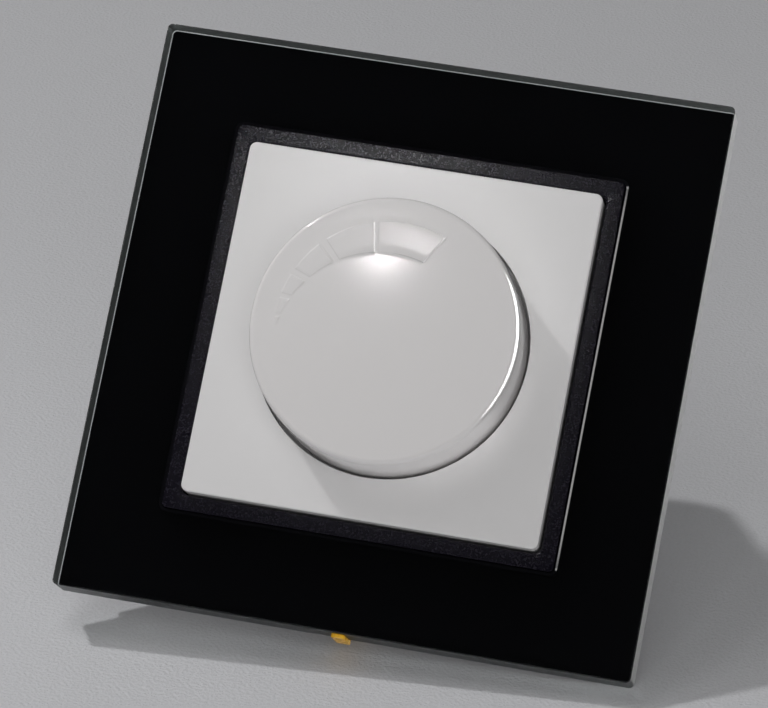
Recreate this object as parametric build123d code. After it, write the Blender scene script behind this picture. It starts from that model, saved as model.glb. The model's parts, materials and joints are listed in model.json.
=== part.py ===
from build123d import *
from math import cos, radians, sin
import os

# Flush-mounted rotary dimmer with a glass cover frame, in millimetres.
# X points right, Z up, and the front of the dimmer faces -Y.
# The origin is the centre of the wall plane, which the frame and the mounting plate rest on.

# Gaps between parts that move past each other and parts that only meet
MOVE_GAP = 0.3
TOUCH_GAP = 0.05
HOLE_GAP = 0.15
RUN_FIT = 0.07
PUSH_TRAVEL = 1.5
PUSH_SPARE = 0.2

# Cover frame: glass, carrier behind it and the surround in its cut-out
FRAME_SIDE = 89.0
GLASS_THICKNESS = 6.0
GLASS_CORNER = 0.8
GLASS_ARRIS = 0.25
CUTOUT_SIDE = 60.6
CUTOUT_CORNER = 2.1
GLASS_BACK_Y = -3.0
GLASS_FRONT_Y = GLASS_BACK_Y - GLASS_THICKNESS
TAPE_THICKNESS = 0.8
TAPE_WIDTH = 6.6
TAPE_LENGTH = 73.0
TAPE_OFFSET = 36.9
CARRIER_SIDE = 83.0
CARRIER_CORNER = 3.0
CARRIER_FRONT_Y = GLASS_BACK_Y + TAPE_THICKNESS
CARRIER_OPENING = 60.8
RELIEF_LENGTH = 15.0
RELIEF_WIDTH = 2.6
RELIEF_DEPTH = 1.1
RELIEF_OFFSET = 38.8
RELIEF_PITCH = 17.5
PRY_NOTCH_WIDTH = 8.0
PRY_NOTCH_DEPTH = 1.4
TAB_WIDTH = 2.1
TAB_THICKNESS = 0.6
TAB_FRONT_Y = GLASS_FRONT_Y + 0.6
TAB_NOSE_R = 0.55
TAB_ROOT_Z = -40.3
TAB_PEG = 1.4

SURROUND_SIDE = 60.35
SURROUND_CORNER = 2.0
SURROUND_PROUD = 0.3
SURROUND_FRONT_Y = GLASS_FRONT_Y - SURROUND_PROUD
SURROUND_EDGE = 0.35
FLANGE_SIDE = 66.0
LEDGE_FRONT_Y = -4.4
LEDGE_BACK_Y = -3.4
LEDGE_OPENING = 52.8

# Centre plate, its well for the knob and the nut that holds it
PLATE_SIDE = 55.0
PLATE_CORNER = 1.1
PLATE_INNER_CORNER = 0.5
PLATE_GAP = 0.3
PLATE_PROUD = 2.0
PLATE_FRONT_Y = GLASS_FRONT_Y - PLATE_PROUD
PLATE_EDGE = 0.3
PLATE_WALL = 1.4
PLATE_TOP = 1.6
PLATE_BACK_Y = LEDGE_FRONT_Y - TOUCH_GAP
WELL_R = 21.0
WELL_WALL = 1.4
WELL_RIM = 0.2
WELL_FLOOR_Y = -6.8
WELL_FLOOR = 1.4
RIB = 1.2
RIB_STEP_ANGLE = 45
RIB_SHORT = 0.4
NUT_FLATS = 14.0
NUT_THICKNESS = 2.0
NUT_FLANGE_R = 8.6
NUT_FLANGE = 0.7
THREAD_R = 5.0
PEG_R = 1.2
PEG_HEIGHT = 1.2
PEG_OFFSET = 10.6

# Front of the threaded bushing that carries the shaft
BUSHING_FRONT_Y = -9.2

# Knob
KNOB_FRONT_Y = GLASS_FRONT_Y - 10.85
KNOB_CROWN = 0.25
KNOB_BACK_Y = WELL_FLOOR_Y - PUSH_TRAVEL - PUSH_SPARE
KNOB_R_BACK = 20.65
KNOB_R_FRONT = 20.4
KNOB_EDGE = 1.2
KNOB_WALL = 1.5
KNOB_INNER_EDGE = 0.8
HUB_R = 4.6
HUB_BACK_Y = BUSHING_FRONT_Y - PUSH_TRAVEL - PUSH_SPARE
HUB_SLIT = 0.8
KNOB_RIBS = 6
KNOB_RIB_TURN = 30
KNOB_RIB_DEPTH = 2.6
RIB_OVERLAP = 0.3
SCALE_R = 16.55
SCALE_INNER_R = 15.6
SCALE_SHIFT = 4.0
SCALE_SHIFT_ANGLE = 260.8
SCALE_PROUD = 0.06
SCALE_ROOT = 0.5
SCALE_APEX = (-1.5, 1.8)
SCALE_STEPS = (
    (59.2, 99.2),
    (102.1, 132.7),
    (138.0, 158.5),
    (162.9, 174.9),
    (177.9, 187.1),
    (189.3, 193.7),
)

# Shaft, clip ring and the parts that they drive
SHAFT_R = 3.0
SHAFT_CHAMFER = 0.4
SHAFT_FRONT_Y = -17.2
SHAFT_BACK_Y = 6.9
SHAFT_FLAT = 2.2
FLAT_BACK_Y = -10.2
CLIP_THICKNESS = 0.5
CLIP_OPENING = 2.4
CLIP_FRONT_Y = -14.2
CLIP_BACK_Y = -11.4
POT_SIDE = 18.0
POT_CORNER = 1.0
POT_FRONT_Y = 1.8
POT_BACK_Y = 8.0
POT_WALL = 0.8
POT_CHAMFER = 0.4
PIN_R = 0.45
PIN_PITCH = 5.0
PIN_Z = -7.8
PIN_BACK_Y = 11.0
WIPER_R = 7.4
WIPER_SWEEP = 0.6
WIPER_THICKNESS = 1.2
WIPER_FRONT_Y = 3.2
WIPER_NOTCH = (3.0, 1.7)
SWITCH_SIDE = 9.0
SWITCH_CORNER = 0.8
SWITCH_WALL = 1.0
SWITCH_LIP = 0.6
SWITCH_DEPTH = 7.6
PLUNGER_R = 2.2
PLUNGER_FLANGE_R = 3.1
PLUNGER_FLANGE = 0.8
PLUNGER_INSET = 0.9
SPRING_WIRE_R = 0.25
SPRING_WIRE_SIDES = 6
SPRING_R = 2.75
SPRING_TURNS = 4

# Mounting plate and spreading claws
MOUNT_SIDE = 71.0
MOUNT_THICKNESS = 1.0
MOUNT_CORNER_CUT = 9.0
MOUNT_EDGE_R = 1.5
MOUNT_NOTCH = (7.0, 1.0)
MOUNT_POCKET = 72.0
MOUNT_POCKET_CORNER = 1.0
MOUNT_POCKET_DEPTH = 1.2
SCREW_PITCH = 60.0
SLOT_R = 2.1
SLOT_LENGTH = 7.0
TOWER_R = 13.0
CLAW_SCREW_X = 23.5
CLAW_SCREW_R = 1.7
CLAW_SCREW_TIP = 0.6
CLAW_HEAD_R = 3.1
CLAW_HEAD = 2.1
CLAW_HEAD_EDGE = 0.7
CLAW_SCREW_TIP_Y = 12.0
CLAW_HOLE_R = 2.0
CLAW_PIVOT_X = 18.9
CLAW_PIVOT_Y = 3.0
CLAW_BARREL_R = 1.4
CLAW_PIN_R = 0.8
CLAW_SHEET = 1.2
CLAW_HALF_WIDTH = 5.5
CLAW_ARM_X = 25.8
CLAW_FLANGE_Y = 4.2
CLAW_TIP_Y = 17.0
CLAW_TOOTH = 1.6
CLAW_TOOTH_ROOT = 0.2
CLAW_TEETH = 4
CLAW_SLOT_NEAR = 20.8
CLAW_SLOT_FAR = 25.5
CLAW_SLOT_HALF = 2.0
LUG_THICKNESS = 0.9
LUG_NEAR_X = 17.5
LUG_FAR_X = 20.5
LUG_BACK_Y = 4.6
LUG_ROUND = 1.2
LUG_Z = 6.2
CROSS_ARM = 2.0
CROSS_HALF_WIDTH = 0.4
CROSS_DEPTH = 0.9

# Insert housing
HOUSING_SIDE = 49.0
HOUSING_CORNER = 14.0
HOUSING_WALL = 1.5
HOUSING_EDGE = 0.8
COVER_BACK_Y = 5.0
HOUSING_BACK_Y = 25.0
POCKET_X = 17.1
POCKET_DEPTH = 12.0
POCKET_HALF = 8.0
TOWER_FRONT_Y = WELL_FLOOR_Y + WELL_FLOOR
POST_OFFSET = 16.8
POST_R = 2.6
POST_ROOT = 0.2
SCREW_R = 1.25
SCREW_HEAD_R = 2.4
SCREW_HEAD = 1.5
SCREW_HEAD_EDGE = 0.5
SCREW_TIP_Y = 17.0
GROOVES = 5
GROOVE_HALF_LENGTH = 12.0
GROOVE_WIDTH = 1.2
GROOVE_DEPTH = 0.6
GROOVE_PITCH = 4.0
GROOVE_Z = 5.0

# Board and what stands on it
BOARD_FRONT_Y = 8.6
BOARD_THICKNESS = 1.6
BOARD_SIDE = 44.6
BOARD_GAP = 0.7
BOARD_BACK_Y = BOARD_FRONT_Y + BOARD_THICKNESS
BOARD_WAIST = 30.6
STAND_OFF = 0.2
PART_Y = BOARD_BACK_Y + STAND_OFF
SWITCH_BACK_Y = BOARD_BACK_Y + SWITCH_DEPTH
PLUNGER_FLANGE_Y = BOARD_BACK_Y + PLUNGER_INSET
CHOKE_X = -5.5
CHOKE_Z = 14.0
CHOKE_R = 6.9
CHOKE_HOLE_R = 3.4
CHOKE_DEPTH = 6.0
COIL_R = 0.5
COIL_TURNS = 16
COIL_START_ANGLE = 20
COIL_SWEEP_ANGLE = 320
LEAD_R = 0.3
LEAD_PITCH = 5.0
PART_EDGE = 0.6
CAPACITOR_SIZE = (9.5, 10.0, 13.5)
CAPACITOR_X = 8.8
CAPACITOR_Z = 14.3
SINK_X = -14.4
SINK_Z = -3.0
SINK_SIZE = (1.5, 11.0, 14.0)
SINK_FOOT = 4.4
TRIAC_SIZE = (4.4, 9.0, 10.0)
TRIAC_LEAD = 0.7
TRIAC_LEAD_PITCH = 2.5
FUSE_X = 10.2
FUSE_Z = -3.6
FUSE_R = 4.2
FUSE_LENGTH = 7.6

# Terminals
TERMINALS = (-1, 0, 1)
TERMINAL_PITCH = 9.0
TERMINAL_TOP_Z = -11.6
TERMINAL_BOTTOM_Z = -21.6
TERMINAL_FRONT_Y = 11.0
WIRE_R = 2.1
WIRE_Z = -15.4
WIRE_DEPTH = 11.0
CAGE_SIZE = (6.2, 6.0, 7.6)
CAGE_Y = 19.0
CAGE_TOP_Z = WIRE_Z + 2.3
CAGE_SEAT_Z = CAGE_TOP_Z - CAGE_SIZE[2]
CAGE_HOLE = 4.5
TERMINAL_SCREW_R = 1.5
TERMINAL_HEAD_R = 2.1
TERMINAL_HEAD = 1.4
TERMINAL_SLOT = (0.3, 0.7)
ACCESS_R = 2.4


def place(sketch, y):
    """Lay a sketch drawn in X and Z on the upright plane at depth y."""
    return Plane.XZ.offset(-y) * sketch


def prism(sketch, front, back):
    """Extrude a sketch drawn in X and Z from depth front to depth back."""
    return extrude(place(sketch, back), amount=back - front)


def square(side, corner):
    """Square outline with rounded corners."""
    return RectangleRounded(side, side, corner)


def block(x0, x1, y0, y1, z0, z1):
    """Box between two opposite corners."""
    centre = ((x0 + x1) / 2, (y0 + y1) / 2, (z0 + z1) / 2)
    return Pos(*centre) * Box(x1 - x0, y1 - y0, z1 - z0)


def rod(x, z, radius, front, back):
    """Round bar along Y."""
    return prism(Pos(x, z) * Circle(radius), front, back)


def bar_z(x, y, radius, low, high):
    """Round bar along Z."""
    return extrude(Pos(x, y, low) * Circle(radius), amount=high - low)


def front_edges(part):
    """Edges of the face that lies furthest forward."""
    return part.faces().sort_by(Axis.Y)[0].edges()


def back_edges(part):
    """Edges of the face that lies furthest back."""
    return part.faces().sort_by(Axis.Y)[-1].edges()


def corners(offset):
    """The four points (x, z) at offset from both middle lines."""
    return [(side * offset, end * offset) for side in (-1, 1) for end in (-1, 1)]


def glass_panel():
    """Square glass plate with polished arrises round its outside and its cut-out."""
    outline = square(FRAME_SIDE, GLASS_CORNER) - square(CUTOUT_SIDE, CUTOUT_CORNER)
    panel = prism(outline, GLASS_FRONT_Y, GLASS_BACK_Y)
    panel = chamfer(front_edges(panel), GLASS_ARRIS)
    return chamfer(back_edges(panel), GLASS_ARRIS)


def adhesive_strips():
    """Four foam strips, set end to side round the carrier."""
    shift = TAPE_OFFSET + (TAPE_WIDTH - TAPE_LENGTH) / 2
    shape = Pos(shift, TAPE_OFFSET) * Rectangle(TAPE_LENGTH, TAPE_WIDTH)
    strip = prism(shape, GLASS_BACK_Y, CARRIER_FRONT_Y)
    return Compound(children=[Rot(0, 90 * turn, 0) * strip for turn in range(4)])


def carrier_frame():
    """Moulded frame behind the glass, with a pocket for the mounting plate."""
    outline = square(CARRIER_SIDE, CARRIER_CORNER) - square(CARRIER_OPENING, CUTOUT_CORNER)
    frame = prism(outline, CARRIER_FRONT_Y, 0)
    frame -= prism(square(MOUNT_POCKET, MOUNT_POCKET_CORNER), -MOUNT_POCKET_DEPTH, 0)
    slot = Pos(0, RELIEF_OFFSET) * SlotOverall(RELIEF_LENGTH, RELIEF_WIDTH)
    relief = prism(slot, -RELIEF_DEPTH, 0)
    for turn in range(4):
        for step in (-1, 1):
            frame -= Rot(0, 90 * turn, 0) * (Pos(step * RELIEF_PITCH, 0, 0) * relief)
    edge = CARRIER_SIDE / 2
    half = PRY_NOTCH_WIDTH / 2
    frame -= block(-half, half, -RELIEF_DEPTH, 0, -edge, -edge + PRY_NOTCH_DEPTH)
    socket = TAB_PEG / 2 + TOUCH_GAP
    top = TAB_ROOT_Z + TOUCH_GAP
    frame -= block(-socket, socket, CARRIER_FRONT_Y, -RELIEF_DEPTH, top - TAB_PEG, top)
    return frame


def release_tab():
    """Tongue under the lower edge of the glass that lifts the frame off."""
    half = TAB_WIDTH / 2
    under = -FRAME_SIDE / 2 - TOUCH_GAP
    leg_front = GLASS_BACK_Y + TOUCH_GAP
    leg_back = CARRIER_FRONT_Y - TOUCH_GAP
    tongue = block(-half, half, TAB_FRONT_Y, leg_back, under - TAB_THICKNESS, under)
    tongue = fillet(tongue.faces().sort_by(Axis.Y)[0].edges().filter_by(Axis.Z), TAB_NOSE_R)
    leg = block(-half, half, leg_front, leg_back, under, TAB_ROOT_Z)
    side = TAB_PEG / 2
    tip = -RELIEF_DEPTH - TOUCH_GAP
    peg = block(-side, side, leg_back, tip, TAB_ROOT_Z - TAB_PEG, TAB_ROOT_Z)
    return tongue + leg + peg


def surround_ring():
    """Collar that lines the glass cut-out, with a rear flange and an inner ledge."""
    opening = PLATE_SIDE + 2 * PLATE_GAP
    collar = prism(square(SURROUND_SIDE, SURROUND_CORNER), SURROUND_FRONT_Y, CARRIER_FRONT_Y)
    collar = chamfer(front_edges(collar), SURROUND_EDGE)
    ring = collar + prism(square(FLANGE_SIDE, SURROUND_CORNER), GLASS_BACK_Y, CARRIER_FRONT_Y)
    ring -= prism(square(opening, PLATE_CORNER + PLATE_GAP), SURROUND_FRONT_Y, LEDGE_FRONT_Y)
    ring -= prism(square(LEDGE_OPENING, PLATE_CORNER), LEDGE_FRONT_Y, LEDGE_BACK_Y)
    ring -= prism(square(opening, PLATE_CORNER), LEDGE_BACK_Y, CARRIER_FRONT_Y)
    inner = ring.edges().filter_by(lambda e: e.center().Y < SURROUND_FRONT_Y + TOUCH_GAP)
    near = opening / 2 + TOUCH_GAP
    inner = inner.filter_by(lambda e: max(abs(e.center().X), abs(e.center().Z)) < near)
    return chamfer(inner, SURROUND_EDGE)


def centre_plate():
    """Square front plate: skirt, round well for the knob and stiffening ribs."""
    plate = prism(square(PLATE_SIDE, PLATE_CORNER), PLATE_FRONT_Y, PLATE_BACK_Y)
    plate = fillet(front_edges(plate), PLATE_EDGE)
    top_back = PLATE_FRONT_Y + PLATE_TOP
    hollow = square(PLATE_SIDE - 2 * PLATE_WALL, PLATE_INNER_CORNER)
    plate -= prism(hollow, top_back, PLATE_BACK_Y)
    floor_back = WELL_FLOOR_Y + WELL_FLOOR
    plate += rod(0, 0, WELL_R + WELL_WALL, top_back, floor_back)
    near = WELL_R + WELL_WALL / 2
    for angle in range(0, 360, RIB_STEP_ANGLE):
        far = (PLATE_SIDE - PLATE_WALL) / 2
        reach = far / max(abs(cos(radians(angle))), abs(sin(radians(angle))))
        rib = block(near, reach, top_back, floor_back - RIB_SHORT, -RIB / 2, RIB / 2)
        plate += Rot(0, angle, 0) * rib
    plate -= rod(0, 0, WELL_R, PLATE_FRONT_Y, WELL_FLOOR_Y)
    plate -= rod(0, 0, THREAD_R + HOLE_GAP, WELL_FLOOR_Y, floor_back)
    for side in (-1, 1):
        plate -= rod(side * PEG_OFFSET, 0, PEG_R + HOLE_GAP, WELL_FLOOR_Y, floor_back)
    rim = plate.edges().filter_by(GeomType.CIRCLE)
    rim = rim.filter_by(lambda e: e.center().Y < PLATE_FRONT_Y + TOUCH_GAP and e.radius > PLATE_SIDE / 4)
    return chamfer(rim, WELL_RIM)


def plate_nut():
    """Flanged hexagon nut on the threaded bushing."""
    front = WELL_FLOOR_Y - NUT_THICKNESS
    hexagon = RegularPolygon(NUT_FLATS / 2, 6, major_radius=False)
    nut = prism(hexagon, front, WELL_FLOOR_Y)
    nut += rod(0, 0, NUT_FLANGE_R, WELL_FLOOR_Y - NUT_FLANGE, WELL_FLOOR_Y)
    return nut - rod(0, 0, THREAD_R, front, WELL_FLOOR_Y)


def ray(angle, length):
    """Point at an angle from the X axis, seen from the front."""
    return (length * cos(radians(angle)), length * sin(radians(angle)))


def level_scale():
    """Raised level scale: a crescent that widens clockwise, cut into steps."""
    shift = Pos(*ray(SCALE_SHIFT_ANGLE, SCALE_SHIFT))
    crescent = Circle(SCALE_R) - shift * Circle(SCALE_INNER_R)
    front = KNOB_FRONT_Y - SCALE_PROUD
    steps = []
    for low, high in SCALE_STEPS:
        corner_low = ray(low, 2 * SCALE_R)
        corner_high = ray(high, 2 * SCALE_R)
        wedge = Pos(*SCALE_APEX) * make_face(Polyline((0, 0), corner_low, corner_high, close=True))
        steps.append(prism(crescent & wedge, front, KNOB_FRONT_Y + SCALE_ROOT))
    return steps


def knob():
    """Round push-and-turn knob: skirt, crowned face, ribbed inside and a split hub."""
    face_r = KNOB_R_FRONT - KNOB_EDGE
    face_y = KNOB_FRONT_Y + KNOB_CROWN
    side_y = face_y + KNOB_EDGE
    crown = ThreePointArc((0, KNOB_FRONT_Y), (face_r / 2, KNOB_FRONT_Y + KNOB_CROWN / 4), (face_r, face_y))
    lean = sin(radians(45)) * KNOB_EDGE
    corner = (face_r + lean, side_y - lean)
    edge = ThreePointArc((face_r, face_y), corner, (KNOB_R_FRONT, side_y))
    inner_y = KNOB_FRONT_Y + KNOB_WALL
    inner_front = KNOB_R_FRONT - KNOB_WALL
    rest = Polyline(
        (KNOB_R_FRONT, side_y),
        (KNOB_R_BACK, KNOB_BACK_Y),
        (KNOB_R_BACK - KNOB_WALL, KNOB_BACK_Y),
        (inner_front, inner_y + KNOB_INNER_EDGE),
        (inner_front - KNOB_INNER_EDGE, inner_y),
        (HUB_R, inner_y),
        (HUB_R, HUB_BACK_Y),
        (0, HUB_BACK_Y),
        (0, KNOB_FRONT_Y),
    )
    body = revolve(make_face(crown + edge + rest), Axis.Y)
    near = HUB_R - RIB_OVERLAP
    far = inner_front - KNOB_INNER_EDGE / 2
    for index in range(KNOB_RIBS):
        rib = block(near, far, inner_y - RIB_OVERLAP, inner_y + KNOB_RIB_DEPTH, -RIB / 2, RIB / 2)
        body += Rot(0, KNOB_RIB_TURN + index * 360 / KNOB_RIBS, 0) * rib
    bore = rod(0, 0, SHAFT_R, SHAFT_FRONT_Y, HUB_BACK_Y)
    bore -= block(-SHAFT_R, SHAFT_R, SHAFT_FRONT_Y, HUB_BACK_Y, SHAFT_FLAT, SHAFT_R)
    body -= bore
    body -= block(-HUB_R, HUB_R, CLIP_FRONT_Y, HUB_BACK_Y, -HUB_SLIT / 2, HUB_SLIT / 2)
    for step in level_scale():
        body += step
    return body


def knob_clip():
    """Open spring ring round the split hub."""
    ring = Circle(HUB_R + CLIP_THICKNESS) - Circle(HUB_R)
    gap = Pos(0, -HUB_R) * Rectangle(CLIP_OPENING, CLIP_OPENING)
    return prism(ring - gap, CLIP_FRONT_Y, CLIP_BACK_Y)


def control_shaft():
    """Shaft that turns and slides in the bushing, with a flat for the knob."""
    shaft = rod(0, 0, SHAFT_R, SHAFT_FRONT_Y, SHAFT_BACK_Y)
    shaft = chamfer(front_edges(shaft), SHAFT_CHAMFER)
    return shaft - block(-SHAFT_R, SHAFT_R, SHAFT_FRONT_Y, FLAT_BACK_Y, SHAFT_FLAT, SHAFT_R)


def wiper_disc():
    """Disc on the shaft that carries the contact over the resistance track."""
    width, depth = WIPER_NOTCH
    notch = Pos(0, WIPER_R - depth / 2) * Rectangle(width, depth)
    disc = Circle(WIPER_R) - Circle(SHAFT_R) - notch
    return prism(disc, WIPER_FRONT_Y, WIPER_FRONT_Y + WIPER_THICKNESS)


def potentiometer():
    """Hollow body with the threaded bushing that the plate nut screws on."""
    body = prism(square(POT_SIDE, POT_CORNER), POT_FRONT_Y, POT_BACK_Y)
    body -= rod(0, 0, WIPER_R + WIPER_SWEEP, POT_FRONT_Y + POT_WALL, POT_BACK_Y - POT_WALL)
    body += rod(0, 0, THREAD_R, BUSHING_FRONT_Y, POT_FRONT_Y)
    body = chamfer(front_edges(body), POT_CHAMFER)
    body -= rod(0, 0, SHAFT_R + RUN_FIT, BUSHING_FRONT_Y, POT_BACK_Y)
    for index in TERMINALS:
        body += rod(index * PIN_PITCH, PIN_Z, PIN_R, POT_BACK_Y, PIN_BACK_Y)
    return body


def push_switch():
    """Switch case behind the board, open in front for the plunger."""
    lip_back = BOARD_BACK_Y + SWITCH_LIP
    case = prism(square(SWITCH_SIDE, SWITCH_CORNER), BOARD_BACK_Y, SWITCH_BACK_Y)
    case -= rod(0, 0, PLUNGER_FLANGE_R + MOVE_GAP, lip_back, SWITCH_BACK_Y - SWITCH_WALL)
    return case - rod(0, 0, PLUNGER_R + MOVE_GAP, BOARD_BACK_Y, lip_back)


def switch_plunger():
    """Plunger that the rear end of the shaft presses."""
    flange_back = PLUNGER_FLANGE_Y + PLUNGER_FLANGE
    plunger = rod(0, 0, PLUNGER_R, SHAFT_BACK_Y + 2 * TOUCH_GAP, flange_back)
    return plunger + rod(0, 0, PLUNGER_FLANGE_R, PLUNGER_FLANGE_Y, flange_back)


def return_spring():
    """Coil spring between the plunger and the back of the switch."""
    front = PLUNGER_FLANGE_Y + PLUNGER_FLANGE + SPRING_WIRE_R + TOUCH_GAP
    back = SWITCH_BACK_Y - SWITCH_WALL - SPRING_WIRE_R
    height = back - front
    path = Helix(height / SPRING_TURNS, height, SPRING_R)
    path = Pos(0, front, 0) * (Rot(-90, 0, 0) * path)
    wire = RegularPolygon(SPRING_WIRE_R, SPRING_WIRE_SIDES)
    return sweep(Plane(origin=path @ 0, z_dir=path % 0) * wire, path)


def mounting_plate():
    """Stamped steel plate with slots for the wall box and lugs for the claws."""
    outline = Rectangle(MOUNT_SIDE, MOUNT_SIDE)
    outline = chamfer(outline.vertices(), MOUNT_CORNER_CUT)
    outline = fillet(outline.vertices(), MOUNT_EDGE_R)
    outline -= Circle(TOWER_R + MOVE_GAP)
    width, depth = MOUNT_NOTCH
    notch = Pos(0, (MOUNT_SIDE - depth) / 2) * Rectangle(width, depth)
    for turn in range(4):
        outline -= Rot(0, 0, 90 * turn) * notch
    for x, z in corners(POST_OFFSET):
        outline -= Pos(x, z) * Circle(SCREW_R + HOLE_GAP)
    upright = Rot(0, 0, 90) * SlotOverall(SLOT_LENGTH, 2 * SLOT_R)
    for side in (-1, 1):
        outline -= Pos(0, side * SCREW_PITCH / 2) * upright
        outline -= Pos(side * SCREW_PITCH / 2, 0) * upright
        outline -= Pos(side * CLAW_SCREW_X, 0) * Circle(CLAW_HOLE_R)
    plate = prism(outline, -MOUNT_THICKNESS, 0)
    for side in (-1, 1):
        for end in (-1, 1):
            plate += claw_lug(side, end)
    return plate


def claw_lug(side, end):
    """One bent lug with the hole for the claw's pin."""
    far = LUG_Z + LUG_THICKNESS
    lug = block(LUG_NEAR_X, LUG_FAR_X, -MOUNT_THICKNESS, LUG_BACK_Y, LUG_Z, far)
    lug = fillet(lug.faces().sort_by(Axis.Y)[-1].edges().filter_by(Axis.Z), LUG_ROUND)
    lug -= bar_z(CLAW_PIVOT_X, CLAW_PIVOT_Y, CLAW_PIN_R, LUG_Z, far)
    if end < 0:
        lug = lug.mirror(Plane.XY)
    if side < 0:
        lug = lug.mirror(Plane.YZ)
    return lug


def claw(side):
    """Bent claw: barrel on its pin, flange over the screw, arm and toothed tip."""
    half = CLAW_HALF_WIDTH
    inner = CLAW_PIVOT_X
    arm_far = CLAW_ARM_X + CLAW_SHEET
    tip = arm_far + CLAW_TOOTH
    flange_back = CLAW_FLANGE_Y + CLAW_SHEET
    piece = bar_z(inner, CLAW_PIVOT_Y, CLAW_BARREL_R, -half, half)
    piece += block(inner, arm_far, CLAW_FLANGE_Y, flange_back, -half, half)
    piece += block(inner, inner + CLAW_SHEET, CLAW_PIVOT_Y, flange_back, -half, half)
    piece += block(CLAW_ARM_X, arm_far, CLAW_FLANGE_Y, CLAW_TIP_Y, -half, half)
    piece += block(CLAW_ARM_X, tip, CLAW_TIP_Y - CLAW_SHEET, CLAW_TIP_Y, -half, half)
    piece -= bar_z(inner, CLAW_PIVOT_Y, CLAW_PIN_R + RUN_FIT, -half, half)
    slot = CLAW_SLOT_HALF
    piece -= block(CLAW_SLOT_NEAR, CLAW_SLOT_FAR, CLAW_FLANGE_Y, flange_back, -slot, slot)
    pitch = 2 * half / CLAW_TEETH
    root = arm_far + CLAW_TOOTH_ROOT
    for index in range(1, CLAW_TEETH):
        z = -half + pitch * index
        wedge = make_face(Polyline((root, z), (tip, z + pitch / 2), (tip, z - pitch / 2), close=True))
        piece -= prism(wedge, CLAW_TIP_Y - CLAW_SHEET, CLAW_TIP_Y)
    return piece.mirror(Plane.YZ) if side < 0 else piece


def claw_pins():
    """Two pins, each through a pair of lugs."""
    end = LUG_Z + LUG_THICKNESS
    return Compound(children=[
        bar_z(side * CLAW_PIVOT_X, CLAW_PIVOT_Y, CLAW_PIN_R, -end, end) for side in (-1, 1)
    ])


def claw_screw(side):
    """Pan-head screw that draws the claw's flange forward."""
    seat = -MOUNT_THICKNESS - TOUCH_GAP
    front = seat - CLAW_HEAD
    x = side * CLAW_SCREW_X
    head = rod(x, 0, CLAW_HEAD_R, front, seat)
    head = chamfer(front_edges(head), CLAW_HEAD_EDGE)
    screw = head + rod(x, 0, CLAW_SCREW_R, seat, CLAW_SCREW_TIP_Y)
    screw = chamfer(back_edges(screw), CLAW_SCREW_TIP)
    for long, short in ((CROSS_ARM, CROSS_HALF_WIDTH), (CROSS_HALF_WIDTH, CROSS_ARM)):
        screw -= block(x - long, x + long, front, front + CROSS_DEPTH, -short, short)
    return screw


def housing_outline(inset):
    """Outline of the insert, drawn in by inset, with a pocket on each side for a claw."""
    outline = square(HOUSING_SIDE - 2 * inset, HOUSING_CORNER - inset)
    pocket = Rectangle(POCKET_DEPTH, 2 * (POCKET_HALF + inset))
    for sign in (-1, 1):
        outline -= Pos(sign * (POCKET_X - inset + POCKET_DEPTH / 2), 0) * pocket
    return outline


def housing_cover():
    """Front half of the insert with the tower that the centre plate sits on."""
    cover = prism(housing_outline(0), 0, COVER_BACK_Y)
    cover -= prism(housing_outline(HOUSING_WALL), HOUSING_WALL, COVER_BACK_Y)
    tower_top = TOWER_FRONT_Y + HOUSING_WALL
    cover += rod(0, 0, TOWER_R, TOWER_FRONT_Y, HOUSING_WALL)
    cover -= rod(0, 0, TOWER_R - HOUSING_WALL, tower_top, HOUSING_WALL)
    cover -= rod(0, 0, THREAD_R + HOLE_GAP, TOWER_FRONT_Y, tower_top)
    for side in (-1, 1):
        cover += rod(side * PEG_OFFSET, 0, PEG_R, TOWER_FRONT_Y - PEG_HEIGHT, TOWER_FRONT_Y)
    for x, z in corners(POST_OFFSET):
        cover += rod(x, z, POST_R, HOUSING_WALL, COVER_BACK_Y)
        cover -= rod(x, z, SCREW_R, 0, COVER_BACK_Y)
    return cover


def housing_body():
    """Rear half of the insert: tub with screw posts and a window for the terminals."""
    body = prism(housing_outline(0), COVER_BACK_Y, HOUSING_BACK_Y)
    body = chamfer(back_edges(body), HOUSING_EDGE)
    floor_y = HOUSING_BACK_Y - HOUSING_WALL
    body -= prism(housing_outline(HOUSING_WALL), COVER_BACK_Y, floor_y)
    for x, z in corners(POST_OFFSET):
        body += rod(x, z, POST_R, BOARD_BACK_Y, floor_y + POST_ROOT)
        body -= rod(x, z, SCREW_R, BOARD_BACK_Y, SCREW_TIP_Y)
    half = TERMINAL_PITCH * len(TERMINALS) / 2 + HOLE_GAP
    top = TERMINAL_TOP_Z + HOLE_GAP
    bottom = TERMINAL_BOTTOM_Z - HOLE_GAP
    body -= block(-half, half, floor_y, HOUSING_BACK_Y, bottom, top)
    wall = -HOUSING_SIDE / 2
    for index in TERMINALS:
        body -= bar_z(index * TERMINAL_PITCH, CAGE_Y, ACCESS_R, wall, wall + 2 * HOUSING_WALL)
    length = GROOVE_HALF_LENGTH
    for row in range(GROOVES):
        low = GROOVE_Z + (row - GROOVES // 2) * GROOVE_PITCH - GROOVE_WIDTH / 2
        groove_y = HOUSING_BACK_Y - GROOVE_DEPTH
        body -= block(-length, length, groove_y, HOUSING_BACK_Y, low, low + GROOVE_WIDTH)
    return body


def housing_screws():
    """Four screws from the mounting plate into the posts of the tub."""
    screws = []
    for x, z in corners(POST_OFFSET):
        head = rod(x, z, SCREW_HEAD_R, -MOUNT_THICKNESS - SCREW_HEAD, -MOUNT_THICKNESS)
        head = chamfer(front_edges(head), SCREW_HEAD_EDGE)
        screws.append(head + rod(x, z, SCREW_R, -MOUNT_THICKNESS, SCREW_TIP_Y))
    return Compound(children=screws)


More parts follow.
